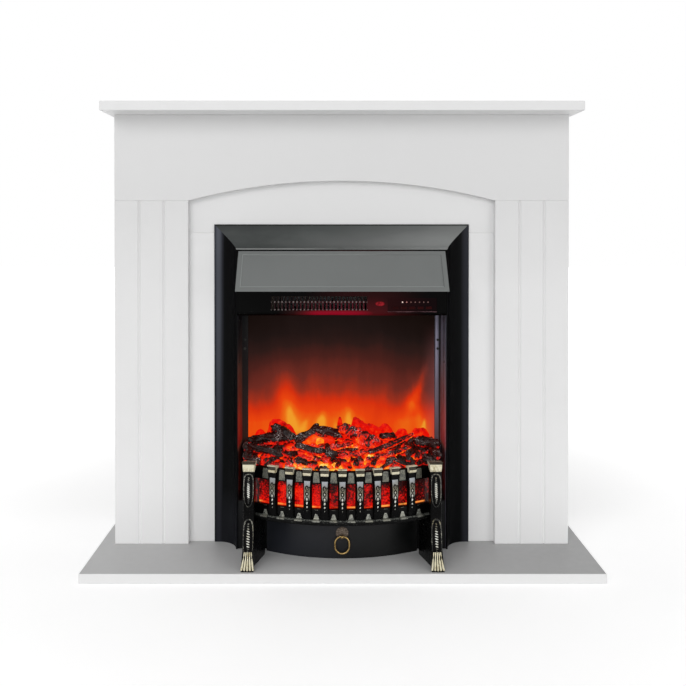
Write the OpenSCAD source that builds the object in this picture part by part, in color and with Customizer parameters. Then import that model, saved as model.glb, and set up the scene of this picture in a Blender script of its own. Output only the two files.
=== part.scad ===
// Electric fireplace: a freestanding mantel surround with an inset electric fire.
// Millimetres. X runs to the right, Y from the front to the wall, Z up.
// The origin is the centre of the footprint, on the floor.

/* [Surround] */
// Width of the hearth board
hearth_w = 960; // [925:1:1100]
// Depth of the hearth board, front edge to wall
hearth_d = 330; // [315:1:420]
// Thickness of the hearth board
hearth_t = 18; // [16:1:30]
// Width of the surround's body
body_w = 900; // [860:1:920]
// Height of the body, hearth to shelf
body_h = 852; // [820:1:1000]
// Thickness of the body's boards
board_t = 16; // [15:1:19]
// Hearth that shows in front of the legs
hearth_front = 154; // [150:1:170]
// Width of each leg board
leg_w = 146; // [120:1:160]
// Width of the grooves in a leg
groove_w = 7; // [4:1:12]
// Depth of the grooves in a leg
groove_d = 3; // [1:0.5:5]
// Height of the header over the legs
header_h = 170; // [150:1:190]
// Rise of the header's arch
arch_rise = 39; // [20:1:60]
// Width of the mantel shelf
shelf_w = 924; // [905:1:950]
// Thickness of the mantel shelf
shelf_t = 18; // [16:1:30]
// How far the shelf stands out over the header
shelf_overhang = 70; // [30:1:90]
// Height of the rear rail
rail_h = 80; // [60:1:100]
// Side of a corner block
block = 30; // [24:1:36]
// Chamfer on the boards' edges
ease = 0.8; // [0.4:0.1:1.5]

/* [Wall bracket] */
// Length of each leaf of a wall bracket
bracket_leaf = 40; // [34:1:50]
// Thickness of a bracket's steel
bracket_t = 2; // [1.5:0.5:3]
// Radius of the wall screw's hole
bracket_hole_r = 3; // [2.5:0.5:3.5]
// Wall screw's distance below the rear rail
bracket_drop = 70; // [30:1:120]
// Wall screw's distance from the side panel
bracket_hole_x = 24; // [20:1:28]

/* [Fire] */
// Width over the black trim
fire_w = 508; // [500:1:530]
// Height over the black trim
fire_h = 635; // [625:1:660]
// Face width of the trim
trim_w = 50; // [46:1:54]
// How far the trim stands out from the infill
trim_d = 45; // [40:1:50]
// Width of the steel casing
casing_w = 452; // [446:1:458]
// Height of the steel casing
casing_h = 610; // [605:1:614]
// Depth of the steel casing behind the infill
casing_d = 120; // [115:1:132]
// Thickness of the steel sheet
sheet = 1.5; // [1:0.1:2]
// Gap between the casing and the infill's opening, each side
opening_gap = 11; // [8:1:12]
// Gap between the casing and the infill's opening, above
opening_top = 8; // [5:1:10]

/* [Hood] */
// Width of the hood
hood_w = 402; // [390:1:404]
// Drop of the hood's slope
hood_h = 74; // [60:1:80]
// How far the hood stands out at its lower edge
hood_out = 65; // [45:1:75]
// Distance of the pressed line from the hood's edge
hood_line_inset = 9; // [6:1:12]

/* [Controls] */
// Height of the control fascia
fascia_h = 128; // [122:1:140]
// Width of the warm-air grille
grille_w = 188; // [170:1:200]
// Height of the warm-air grille
grille_h = 27.5; // [24:0.5:30]
// Number of the grille's slots
grille_slots = 26; // [20:1:30]
// Width of the button plate
plate_w = 96; // [90:1:100]
// Height of the button plate
plate_h = 27.4; // [26:0.2:29]
// Distance between buttons
button_pitch = 16.2; // [15:0.1:17]
// Travel of a button
button_travel = 1.2; // [0.8:0.1:1.5]
// Distance between indicator lights
led_pitch = 8.27; // [7.5:0.1:9]
// Radius of an indicator light
led_r = 1.2; // [1:0.1:1.5]
// Width of the receiver window
window_w = 19; // [16:1:22]
// Height of the receiver window
window_h = 9; // [7:1:11]

/* [Heater] */
// Radius of the blower wheel
wheel_r = 27; // [22:1:28]
// Radius of the blower's shaft
shaft_r = 3; // [2.5:0.5:4]
// Number of blades on the blower wheel
blades = 20; // [12:1:28]

/* [Flame effect] */
// Thickness of the flame screen
screen_t = 3; // [2:0.5:4]
// Distance of the flame screen behind the infill's face
screen_y = 39; // [36:1:42]
// Radius of the flicker spindle
spindle_r = 2.5; // [2:0.5:3]
// Number of foil flags on the spindle
flags = 9; // [6:1:11]
// Reach of a foil flag from the spindle's axis
flag_reach = 20; // [14:1:22]

/* [Fuel bed] */
// Height of the bed's front edge above the hearth
bed_front_h = 175; // [170:1:182]
// Height of the bed's rear edge above the hearth
bed_rear_h = 204; // [198:1:212]
// Height of the shelf that carries the bed, above the hearth
bed_shelf_h = 94; // [90:1:98]
// Wall thickness of the bed
bed_wall = 12; // [8:1:14]
// Clearance of a log in its socket
log_gap = 0.2; // [0.1:0.05:0.3]

/* [Fret] */
// Plan radius of the fret's bow, to the front of its bars
fret_r = 330; // [320:1:345]
// Distance of the fret's bow behind the hearth's front edge
fret_inset = 25; // [22:1:30]
// Number of bars
bars = 9; // [7:1:9]
// Distance between bars
bar_pitch = 32.2; // [30:0.1:33]
// Width of a bar at its back
bar_w = 17; // [14:0.5:19]
// Width of a bar's front face
bar_face = 10; // [8:0.5:12]
// Depth of a bar
bar_d = 7; // [5:0.5:8]
// Height of the fret's lower rail above the hearth
lower_rail_h = 79; // [75:1:80]
// Height of the fret's upper rail above the hearth
upper_rail_h = 153.4; // [150:0.1:158]
// Face height of the lower rail
lower_rail_t = 27.5; // [22:0.5:30]
// Face height of the lip along the lower rail
lower_lip_t = 9; // [6:1:12]
// Face height of the upper rail
upper_rail_t = 23.6; // [18:0.2:26]
// Depth of the rails
rail_d = 8; // [6:1:9]
// Distance between the columns
column_gap = 328; // [322:1:330]
// Width of a column
column_w = 21; // [18:1:24]
// Height of a column under its cap
column_h = 173; // [165:1:178]
// Width of a claw foot
foot_w = 26.5; // [22:0.5:28]

/* [Ash pan cover] */
// Width of the cover
pan_w = 292; // [280:1:294]
// Height of the cover
pan_h = 69.8; // [60:0.1:72]
// Distance of the cover behind the fret's bow
pan_setback = 51; // [48:1:54]
// Thickness of the cover
pan_t = 2; // [1.5:0.5:3]
// Centre radius of the pull ring's bends
ring_r = 13.5; // [11:0.5:14]
// Length of the pull ring's straight sides
ring_straight = 5.6; // [3:0.2:8]
// Radius of the pull ring's wire
ring_wire_r = 1.8; // [1.5:0.1:2]
// Height of the pull ring's pivot above the hearth
pivot_h = 44.4; // [42:0.2:46]
// Radius of the rosette
rosette_r = 12.2; // [10:0.2:14]

/* [Mains inlet] */
// Radius of the cable gland's bore
gland_bore_r = 3.6; // [3:0.1:4]
// Length of the cable gland
gland_len = 14; // [12:1:18]

/* [Fits] */
// Clearance between pieces that slide or lift away
slide_gap = 0.3; // [0.2:0.05:0.5]
// Clearance round a screw's shank
screw_gap = 0.1; // [0.05:0.05:0.2]
// Clearance round a turning shaft
running_gap = 0.08; // [0.05:0.01:0.1]

/* [Hidden] */
$fn = 48;
over = 1;             // overrun of a cut past the face it opens

// Surround, worked out
x_body = body_w / 2;
x_inner = x_body - board_t;
x_leg = x_body - leg_w;
y_front = -hearth_d / 2;
y_wall = hearth_d / 2;
y_leg = y_front + hearth_front;
y_infill = y_leg + board_t;
y_inside = y_infill + board_t;
z_shelf = hearth_t + body_h;
z_header = z_shelf - header_h;
arch_r = (x_leg * x_leg + arch_rise * arch_rise) / (2 * arch_rise);
z_bracket = z_shelf - rail_h - bracket_drop;
x_opening = casing_w / 2 + opening_gap;
z_opening = hearth_t + casing_h + opening_top;
screw_r = 2;
screw_head_r = 4;
screw_head_h = 2.4;
screw_bite = 10;      // length of a screw's shank in the side panel

// Fire, worked out
x_fire = fire_w / 2;
z_fire = hearth_t + fire_h;
x_mouth = x_fire - trim_w;
z_mouth = z_fire - trim_w;
y_trim = y_infill - trim_d;
x_casing = casing_w / 2;
z_casing = hearth_t + casing_h;
y_back = y_infill + casing_d;
x_cheek = x_mouth - sheet;
z_floor = hearth_t + sheet;
z_fascia = z_mouth - fascia_h;
ceiling_rise = 3;     // ceiling above the fascia's lower edge
z_ceiling = z_fascia + ceiling_rise;

// Controls, worked out
fascia_t = 3;
y_fascia = y_trim - 4;
y_fascia_back = y_fascia + fascia_t;
lip_r = 8;            // rounded lower lip of the fascia
lip_d = 6;            // flat under the lip
x_grille = -44;
z_grille = z_fascia + 24.3;
x_window = 74.3;
z_window = z_fascia + 23.4;
window_rim = 1;       // hidden border behind the receiver window
x_plate = 137;
z_plate = z_fascia + 21;
flange = 4;           // hidden border behind each cut-out
flange_t = 1.5;
plate_recess = 1.5;
z_flange = z_fascia + lip_r + 0.2;
z_buttons = z_plate - 5.5;
z_leds = z_plate + 5.5;
leds = 7;
button_size = [11, 5];
button_count = 5;
board_posts = 6.5;    // depth between the button plate and its circuit board
y_plate_back = y_fascia_back + flange_t;
y_board = y_plate_back + board_posts;
circuit_t = 1.6;

// Heater, worked out
housing_w = grille_w + 8;
housing_h = 100;
y_housing = y_fascia_back + flange_t + 1.5;
housing_d = y_back - 30 - y_housing;
y_wheel = y_housing + housing_d * 0.66;
z_wheel = z_ceiling + sheet + housing_h * 0.6;
motor_r = 24;
motor_len = 38;

// Flame effect, worked out
channel_w = 12.5;
channel_d = 12;
channel_lip = 3;
y_screen = y_infill + screen_y;
z_screen = hearth_t + 82;
x_screen = x_cheek - channel_lip - slide_gap;
y_channel = y_screen - channel_d / 2;
y_spindle = y_infill + 83;
z_spindle = hearth_t + 162;
spindle_end = x_cheek - 30.5;
spindle_motor_r = 20;
spindle_motor_len = 16;
bearing_w = 6;
bearing_r = 7;

// Fuel bed and fret, worked out
y_arc = y_front + fret_inset + fret_r;
z_bed_shelf = hearth_t + bed_shelf_h;
y_plinth = y_trim + 4;
ember_t = 3;
ember_setback = 18;
r_ember = fret_r - ember_setback;
r_bed = r_ember - ember_t - slide_gap;
x_bed_front = column_gap / 2 - 6;
x_bed = x_cheek - channel_w;
z_bed_front = hearth_t + bed_front_h;
z_bed_rear = hearth_t + bed_rear_h;
r_rail = fret_r - bar_d;
x_column = column_gap / 2;
z_lower = hearth_t + lower_rail_h;
z_upper = hearth_t + upper_rail_h;
z_bar_top = z_upper + upper_rail_t - 7;
y_column = y_front + 47;
z_column = hearth_t + column_h;
r_pan = fret_r - pan_setback;
z_pivot = hearth_t + pivot_h;

// Logs: centre x, centre y, axis height over the bed's shelf, length, radius, turn, tilt
LOGS = [
    [-136, -2, 106, 80, 12, 14, -5],
    [-119, 2, 118, 44, 10, -20, 13],
    [-69, -3, 119, 46, 10, 15, -28],
    [-28, -2, 122, 52, 10, -9, 16],
    [35, -14, 115, 70, 12, -28, 12],
    [90, 5, 110, 32, 9, 8, -8],
    [87, -43, 104, 104, 6, 40, -12],
    [160, -25, 104, 50, 11, -26, 10],
    [-149, -52, 95, 72, 9, -22, 2],
    [-64, -52, 100, 54, 8, -17, 6],
    [96, -86, 91, 36, 4.5, -19, 14]
];

function arc_y(r, x) = y_arc - sqrt(r * r - x * x);
function ellipse_points(w, h, n = 48) =
    [for (i = [0:n - 1]) [w / 2 * cos(i * 360 / n), h / 2 * sin(i * 360 / n)]];

// ---- shared shapes ----

module on_both_sides() {
    children();
    mirror([1, 0, 0]) children();
}

module box(low, high) {
    translate(low) cube(high - low);
}

// A rectangle centred on X with its corners cut, for one section of a board
module eased_rect(w, h) {
    polygon([
        [ease, 0], [w - ease, 0], [w, ease], [w, h - ease],
        [w - ease, h], [ease, h], [0, h - ease], [0, ease]
    ]);
}

// A board from low to high with every edge chamfered
module eased_board(low, high) {
    size = high - low;
    translate(low)
        intersection() {
            linear_extrude(size.z) eased_rect(size.x, size.y);
            translate([0, size.y, 0]) rotate([90, 0, 0]) linear_extrude(size.y) eased_rect(size.x, size.z);
            rotate([90, 0, 90]) linear_extrude(size.x) eased_rect(size.y, size.z);
        }
}

// A side profile of [y, z] points carried across from x0 to x1
module across(x0, x1, points) {
    translate([x0, 0, 0]) rotate([90, 0, 90]) linear_extrude(x1 - x0) polygon(points);
}

// A shape of [x, z] children carried back from y0 to y1
module back_from(y0, y1) {
    translate([0, y1, 0]) rotate([90, 0, 0]) linear_extrude(y1 - y0) children();
}

module rod_x(r, x0, x1) {
    translate([x0, 0, 0]) rotate([0, 90, 0]) cylinder(r = r, h = x1 - x0);
}

module rod_y(r, y0, y1) {
    translate([0, y0, 0]) rotate([-90, 0, 0]) cylinder(r = r, h = y1 - y0);
}

// A pan-head screw at the origin, driven along +X, its head behind the face
module screw(shank) {
    rod_x(screw_head_r, -screw_head_h, 0);
    rod_x(screw_r, -screw_head_h, shank);
}

// A curved band about the bow's centre, r_in to r_out, z0 to z1, cut at plus and minus x
module bowed_band(r_in, r_out, z0, z1, x) {
    y_ends = arc_y(r_in, x) + over;
    y_nose = y_arc - r_out - over;
    intersection() {
        translate([0, y_arc, z0])
            difference() {
                cylinder(r = r_out, h = z1 - z0, $fn = 360);
                translate([0, 0, -over]) cylinder(r = r_in, h = z1 - z0 + 2 * over, $fn = 360);
            }
        box([-x, y_nose, z0], [x, y_ends, z1]);
    }
}

// ---- surround ----

module hearth_board() {
    color([0.93, 0.93, 0.93])
        eased_board([-hearth_w / 2, y_front, 0], [hearth_w / 2, y_wall, hearth_t]);
}

module leg_board() {
    color([0.95, 0.95, 0.95])
        difference() {
            eased_board([x_leg, y_leg, hearth_t], [x_body, y_infill, z_header]);
            for (i = [1, 2])
                translate([x_leg + leg_w * i / 3, y_leg, hearth_t - over])
                    linear_extrude(z_header - hearth_t + 2 * over)
                        polygon([[-groove_w / 2, 0], [0, groove_d], [groove_w / 2, 0], [0, -over * 2]]);
        }
}

module left_leg_board() {
    mirror([1, 0, 0]) leg_board();
}

module right_leg_board() {
    leg_board();
}

module header_board() {
    z_arch = z_header + arch_rise - arch_r;
    color([0.95, 0.95, 0.95])
        difference() {
            eased_board([-x_body, y_leg, z_header], [x_body, y_infill, z_shelf]);
            translate([0, y_leg, z_arch])
                rotate([-90, 0, 0]) {
                    translate([0, 0, -over]) cylinder(r = arch_r, h = board_t + 2 * over, $fn = 720);
                    translate([0, 0, -over])
                        cylinder(r1 = arch_r + ease + over, r2 = arch_r, h = ease + over, $fn = 720);
                }
        }
}

module top_infill_panel() {
    color([0.93, 0.93, 0.93])
        eased_board([-x_inner, y_infill, z_opening], [x_inner, y_inside, z_shelf]);
}

module infill_stile() {
    color([0.93, 0.93, 0.93])
        eased_board([x_opening, y_infill, hearth_t], [x_inner, y_inside, z_opening]);
}

module left_infill_stile() {
    mirror([1, 0, 0]) infill_stile();
}

module right_infill_stile() {
    infill_stile();
}

// Places its children at each screw that bites into the right side panel, head inwards
module at_block_screws() {
    for (p = block_places)
        translate([x_inner - block, p[0] + block / 2, p[1] + block / 2]) children();
}

module at_bracket_screws() {
    for (side = [-1, 1])
        translate([x_inner - bracket_t, y_wall - bracket_leaf / 2, z_bracket + side * bracket_leaf / 4])
            children();
}

// Lower corners of the corner blocks on one side: [y, z]
block_places = [
    [y_inside, hearth_t],
    [y_wall - block, hearth_t],
    [y_inside, z_shelf - block]
];

module side_panel() {
    color([0.95, 0.95, 0.95])
        difference() {
            eased_board([x_inner, y_infill, hearth_t], [x_body, y_wall, z_shelf]);
            at_block_screws() rod_x(screw_r + screw_gap, block - over, block + screw_bite + screw_gap);
            at_bracket_screws()
                rod_x(screw_r + screw_gap, bracket_t - over, bracket_t + screw_bite + screw_gap);
        }
}

module left_side_panel() {
    mirror([1, 0, 0]) side_panel();
}

module right_side_panel() {
    side_panel();
}

module mantel_shelf() {
    color([0.95, 0.95, 0.95])
        eased_board([-shelf_w / 2, y_leg - shelf_overhang, z_shelf],
            [shelf_w / 2, y_wall, z_shelf + shelf_t]);
}

module rear_rail() {
    color([0.85, 0.82, 0.75])
        box([-x_inner, y_wall - board_t, z_shelf - rail_h], [x_inner, y_wall, z_shelf]);
}

module corner_blocks() {
    color([0.78, 0.62, 0.42])
        on_both_sides()
            difference() {
                for (p = block_places)
                    box([x_inner - block, p[0], p[1]], [x_inner, p[0] + block, p[1] + block]);
                at_block_screws() rod_x(screw_r + screw_gap, -over, block + over);
            }
}

module wall_brackets() {
    z0 = z_bracket - bracket_leaf / 2;
    z1 = z_bracket + bracket_leaf / 2;
    color([0.75, 0.76, 0.78])
        on_both_sides()
            difference() {
                union() {
                    box([x_inner - bracket_t, y_wall - bracket_leaf, z0], [x_inner, y_wall, z1]);
                    box([x_inner - bracket_leaf, y_wall - bracket_t, z0], [x_inner, y_wall, z1]);
                }
                translate([x_inner - bracket_hole_x, 0, z_bracket])
                    rod_y(bracket_hole_r, y_wall - bracket_t - over, y_wall + over);
                at_bracket_screws() rod_x(screw_r + screw_gap, -over, bracket_t + over);
            }
}

module screws() {
    color([0.7, 0.7, 0.72])
        on_both_sides() {
            at_block_screws() screw(block + screw_bite);
            at_bracket_screws() screw(bracket_t + screw_bite);
            at_cheek_screws() {
                rod_x(sheet_head_r, -sheet_head_h, 0);
                rod_x(sheet_screw_r, -sheet_head_h, sheet);
            }
            at_channel_screws() {
                rod_y(sheet_head_r, -sheet_head_h, 0);
                rod_y(sheet_screw_r, -sheet_head_h, channel_bite);
            }
        }
}

// ---- trim, hood and casing ----

trim_lip = 3;         // flat border at each edge of the trim
cove_start = 8;       // where the trim's hollow curve begins
cove_rx = trim_w - trim_lip - cove_start;
cove_ry = trim_d - trim_lip;
cove_steps = 20;

// The trim's section: [distance in from its outer edge, distance forward from the infill]
trim_section = concat(
    [[0, 0], [0, trim_lip], [cove_start, trim_lip]],
    [for (i = [1:cove_steps])
        [cove_start + cove_rx * sin(i * 90 / cove_steps), trim_d - cove_ry * cos(i * 90 / cove_steps)]],
    [[trim_w, trim_d], [trim_w, 0], [trim_w - sheet, 0], [trim_w - sheet, trim_d - 2 * sheet]],
    [for (i = [cove_steps - 3:-1:0])
        [cove_start + (cove_rx + sheet) * sin(i * 90 / cove_steps),
         trim_d - (cove_ry + sheet) * cos(i * 90 / cove_steps)]],
    [[sheet, trim_lip - sheet], [sheet, 0]]
);

module trim_side() {
    color([0.08, 0.08, 0.085])
        intersection() {
            translate([x_fire, y_infill, hearth_t])
                linear_extrude(fire_h) polygon([for (p = trim_section) [-p[0], -p[1]]]);
            back_from(y_trim - over, y_infill + over)
                polygon([[x_fire, hearth_t], [x_mouth, hearth_t], [x_mouth, z_mouth], [x_fire, z_fire]]);
        }
}

module trim_left() {
    mirror([1, 0, 0]) trim_side();
}

module trim_right() {
    trim_side();
}

module trim_top() {
    color([0.12, 0.12, 0.125])
        intersection() {
            across(-x_fire, x_fire, [for (p = trim_section) [y_infill - p[1], z_fire - p[0]]]);
            back_from(y_trim - over, y_infill + over)
                polygon([[-x_fire, z_fire], [x_fire, z_fire], [x_mouth, z_mouth], [-x_mouth, z_mouth]]);
        }
}

hood_drop = 2;        // hood's top edge below the mouth
hood_flange = 8;      // flange turned in at the hood's lower edge
hood_line_w = 2;      // width of the pressed line

// Places children on the hood's sloping face: X across, -Z down the slope, +Y into the sheet
module on_hood_slope() {
    translate([0, y_fascia, z_mouth - hood_drop]) rotate([-atan(hood_out / hood_h), 0, 0]) children();
}

module hood() {
    z_top = z_mouth - hood_drop;
    z_low = z_top - hood_h;
    y_low = y_fascia - hood_out;
    slope = sqrt(hood_h * hood_h + hood_out * hood_out);
    thick_z = sheet * slope / hood_out;
    y_inner = y_fascia - (hood_h - thick_z - sheet) * hood_out / hood_h;
    x = hood_w / 2;
    line_x = x - hood_line_inset;
    line_top = -hood_line_inset;
    line_low = hood_line_inset - slope;
    color([0.35, 0.36, 0.36])
        difference() {
            union() {
                across(-x, x, [
                    [y_fascia, z_top], [y_low, z_low], [y_low + hood_flange, z_low],
                    [y_low + hood_flange, z_low + sheet], [y_inner, z_low + sheet],
                    [y_fascia, z_top - thick_z]
                ]);
                on_both_sides()
                    across(x - sheet, x, [[y_fascia, z_top], [y_low, z_low], [y_fascia, z_low]]);
            }
            on_hood_slope() {
                on_both_sides()
                    box([line_x - hood_line_w, -over, line_low], [line_x, sheet / 3, line_top]);
                for (z = [line_low, line_top - hood_line_w])
                    box([-line_x, -over, z], [line_x, sheet / 3, z + hood_line_w]);
            }
        }
}

module casing_wrap() {
    color([0.2, 0.2, 0.21])
        difference() {
            box([-x_casing, y_infill, hearth_t], [x_casing, y_back, z_casing]);
            box([sheet - x_casing, y_infill + sheet, hearth_t - over],
                [x_casing - sheet, y_back + over, z_casing - sheet]);
            box([-x_mouth, y_infill - over, hearth_t - over], [x_mouth, y_infill + 2 * over, z_mouth]);
        }
}

x_gland = -170;
z_gland = hearth_t + 42;
gland_r = 8;
gland_flange_r = 11;
gland_flange_t = 4;
vent_w = 4;
vent_h = 36;
vent_pitch = 12;
vents = 24;

module casing_back() {
    color([0.22, 0.22, 0.23])
        difference() {
            box([sheet - x_casing, y_back - sheet, z_floor], [x_casing - sheet, y_back, z_casing - sheet]);
            for (i = [0:vents - 1], z = [z_wheel, z_spindle - 80])
                translate([(i - (vents - 1) / 2) * vent_pitch, 0, z - vent_h / 2])
                    box([-vent_w / 2, y_back - sheet - over, 0], [vent_w / 2, y_back + over, vent_h]);
            translate([x_gland, 0, z_gland])
                rod_y(gland_r + screw_gap, y_back - sheet - over, y_back + over);
        }
}

module casing_floor() {
    color([0.2, 0.2, 0.21]) {
        box([-x_mouth, y_plinth, hearth_t], [x_mouth, y_infill + sheet, z_floor]);
        box([sheet - x_casing, y_infill + sheet, hearth_t], [x_casing - sheet, y_back, z_floor]);
    }
}

sheet_screw_r = 1.5;
sheet_head_r = 2.6;
sheet_head_h = 1.2;
channel_bite = 2;
// Places of the screws in one cheek: [y, z]
cheek_places = [[y_infill - 24, z_ceiling - 14], [y_infill - 26, z_ceiling - 96]];
// Heights of the screws in one screen channel
channel_places = [z_ceiling - 60, z_ceiling - 78];

module at_cheek_screws() {
    for (p = cheek_places)
        translate([x_cheek, p[0], p[1]]) children();
}

module at_channel_screws() {
    for (z = channel_places)
        translate([x_cheek - channel_w / 2, y_channel, z]) children();
}

module cheek_panels() {
    color([0.16, 0.15, 0.16])
        on_both_sides()
            difference() {
                box([x_cheek, y_plinth, z_floor], [x_mouth, y_channel + channel_d, z_fascia - slide_gap]);
                at_cheek_screws() rod_x(sheet_screw_r + screw_gap, -over, sheet + over);
            }
}

module screen_channels() {
    slot_y = y_screen - screen_t / 2 - slide_gap;
    slot_end = slot_y + screen_t + 2 * slide_gap;
    color([0.3, 0.3, 0.32])
        on_both_sides()
            difference() {
                box([x_cheek - channel_w, y_channel, z_floor], [x_cheek, y_channel + channel_d, z_ceiling]);
                box([x_cheek - channel_w - over, slot_y, z_screen],
                    [x_cheek - channel_lip, slot_end, z_ceiling + over]);
                at_channel_screws() rod_y(sheet_screw_r + screw_gap, -over, channel_bite + screw_gap);
            }
}

module chamber_ceiling() {
    color([0.12, 0.12, 0.12])
        box([-x_mouth, y_fascia + lip_r + 1, z_ceiling], [x_mouth, y_back - sheet, z_ceiling + sheet]);
}

module flame_screen() {
    color([0.75, 0.2, 0.05])
        box([-x_screen, y_screen - screen_t / 2, z_screen],
            [x_screen, y_screen + screen_t / 2, z_ceiling - slide_gap]);
}

// ---- controls ----

module control_fascia() {
    x = x_mouth - slide_gap;
    z_arc = z_fascia + lip_r;
    y_arc_centre = y_fascia + lip_r;
    color([0.05, 0.05, 0.055])
        difference() {
            union() {
                box([-x, y_fascia, z_arc], [x, y_fascia_back, z_mouth - slide_gap]);
                box([-x, y_arc_centre, z_fascia], [x, y_arc_centre + lip_d, z_ceiling]);
                intersection() {
                    translate([0, y_arc_centre, z_arc])
                        difference() {
                            rod_x(lip_r, -x, x);
                            rod_x(lip_r - fascia_t, -x - over, x + over);
                        }
                    box([-x, y_fascia, z_fascia], [x, y_arc_centre, z_arc]);
                }
            }
            box([x_grille - grille_w / 2, y_fascia - over, z_grille - grille_h / 2],
                [x_grille + grille_w / 2, y_fascia_back + over, z_grille + grille_h / 2]);
            box([x_plate - plate_w / 2, y_fascia - over, z_plate - plate_h / 2],
                [x_plate + plate_w / 2, y_fascia_back + over, z_plate + plate_h / 2]);
            translate([x_window, 0, z_window])
                back_from(y_fascia - over, y_fascia_back + over)
                    polygon(ellipse_points(window_w, window_h));
        }
}

module heater_grille() {
    pitch = grille_w / grille_slots;
    slot_w = pitch * 0.64;
    x0 = x_grille - grille_w / 2;
    color([0.1, 0.1, 0.1]) {
        difference() {
            box([x0 - flange, y_fascia_back, z_flange],
                [x0 + grille_w + flange, y_housing, z_grille + grille_h / 2 + flange]);
            for (i = [0:grille_slots - 1])
                translate([x0 + (i + 0.5) * pitch - slot_w / 2, 0, z_grille])
                    box([0, y_fascia_back - over, 0.5 - grille_h / 2],
                        [slot_w, y_housing + over, grille_h / 2 - 0.5]);
        }
        box([x0, y_housing - 1.2, z_grille + 1], [x0 + grille_w, y_housing, z_grille + 3]);
    }
}

module receiver_window() {
    color([0.5, 0.05, 0.05])
        translate([x_window, 0, z_window]) {
            back_from(y_fascia - 0.4, y_fascia_back)
                polygon(ellipse_points(window_w - 2 * screw_gap, window_h - 2 * screw_gap));
            back_from(y_fascia_back, y_plate_back)
                polygon(ellipse_points(window_w + 2 * window_rim, window_h + 2 * window_rim));
        }
}

function button_x(i) = x_plate + (i - (button_count - 1) / 2) * button_pitch;
function led_x(i) = x_plate + (i - (leds - 1) / 2) * led_pitch + 6;

module button_plate() {
    post = 2.2;
    color([0.07, 0.05, 0.055])
        difference() {
            union() {
                translate([x_plate, 0, z_plate])
                    box([screw_gap - plate_w / 2, y_fascia + plate_recess, screw_gap - plate_h / 2],
                        [plate_w / 2 - screw_gap, y_fascia_back, plate_h / 2 - screw_gap]);
                box([x_plate - plate_w / 2 - flange, y_fascia_back, z_flange],
                    [x_plate + plate_w / 2 + flange, y_plate_back, z_plate + plate_h / 2 + flange]);
                for (x = [-1, 1], z = [-1, 1])
                    translate([x_plate + x * (plate_w / 2 - post), 0, z_plate + z * (plate_h / 2 - post)])
                        rod_y(post, y_plate_back - 1, y_board);
            }
            for (i = [0:leds - 1])
                translate([led_x(i), 0, z_leds]) rod_y(led_r + screw_gap, y_fascia, y_plate_back + over);
            for (i = [0:button_count - 1])
                translate([button_x(i), 0, z_buttons])
                    box([-button_size.x / 2 - slide_gap, y_fascia, -button_size.y / 2 - slide_gap],
                        [button_size.x / 2 + slide_gap, y_plate_back + over, button_size.y / 2 + slide_gap]);
        }
}

module indicator_lights() {
    color([0.9, 0.6, 0.55])
        for (i = [0:leds - 1])
            translate([led_x(i), 0, z_leds]) rod_y(led_r, y_fascia + plate_recess - 0.2, y_board);
}

// One push button: its key, the flange that keeps it in, and the stub that meets the switch
module button(i) {
    w = button_size.x / 2;
    h = button_size.y / 2;
    y_key = y_fascia + plate_recess - 1;
    y_flange = y_plate_back + slide_gap;
    color([0.13, 0.11, 0.12])
        translate([button_x(i), 0, z_buttons]) {
            box([-w, y_key, -h], [w, y_flange + 1, h]);
            box([-w - 1.5, y_flange, -h - 1], [w + 1.5, y_flange + 1, h + 1]);
            rod_y(1.5, y_flange, y_board - button_travel - slide_gap);
        }
}

module power_button() {
    button(0);
}

module flame_button() {
    button(1);
}

module dimmer_button() {
    button(2);
}

module heat_button() {
    button(3);
}

module timer_button() {
    button(4);
}

module control_circuit_board() {
    color([0.1, 0.35, 0.18])
        box([x_plate - plate_w / 2, y_board, z_plate - plate_h / 2],
            [x_plate + plate_w / 2, y_board + circuit_t, z_plate + plate_h / 2]);
}

// ---- heater ----

module blower_housing() {
    x0 = x_grille - housing_w / 2;
    x1 = x_grille + housing_w / 2;
    z0 = z_ceiling + sheet;
    color([0.55, 0.56, 0.58])
        difference() {
            box([x0, y_housing, z0], [x1, y_housing + housing_d, z0 + housing_h]);
            box([x0 + sheet, y_housing + sheet, z0 + sheet],
                [x1 - sheet, y_housing + housing_d - sheet, z0 + housing_h - sheet]);
            box([x_grille - grille_w / 2, y_housing - over, z_grille - grille_h / 2],
                [x_grille + grille_w / 2, y_housing + 2 * over, z_grille + grille_h / 2]);
            box([x0 + 14, y_housing + housing_d - 2 * over, z_wheel - 20],
                [x1 - 14, y_housing + housing_d + over, z_wheel + 20]);
            translate([0, y_wheel, z_wheel]) rod_x(shaft_r + running_gap, x0 - over, x1 + over);
        }
}

module blower_wheel() {
    x0 = x_grille - housing_w / 2;
    x1 = x_grille + housing_w / 2;
    rim = 2;
    side_gap = 3;
    blade_t = 1;
    color([0.6, 0.62, 0.64])
        translate([0, y_wheel, z_wheel]) {
            rod_x(shaft_r, x0, x1 + motor_len * 0.7);
            for (x = [x0 + sheet + side_gap, x_grille - rim / 2, x1 - sheet - side_gap - rim])
                rod_x(wheel_r, x, x + rim);
            for (i = [0:blades - 1])
                rotate([i * 360 / blades, 0, 0])
                    box([x0 + sheet + side_gap, wheel_r - 7, -blade_t / 2],
                        [x1 - sheet - side_gap, wheel_r - 0.5, blade_t / 2]);
        }
}

module blower_motor() {
    x1 = x_grille + housing_w / 2;
    color([0.45, 0.46, 0.48])
        translate([0, y_wheel, z_wheel])
            difference() {
                union() {
                    rod_x(motor_r, x1, x1 + motor_len);
                    rod_x(motor_r * 0.45, x1 + motor_len, x1 + motor_len + 5);
                }
                rod_x(shaft_r + running_gap, x1 - over, x1 + motor_len * 0.7 + slide_gap);
            }
}

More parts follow.
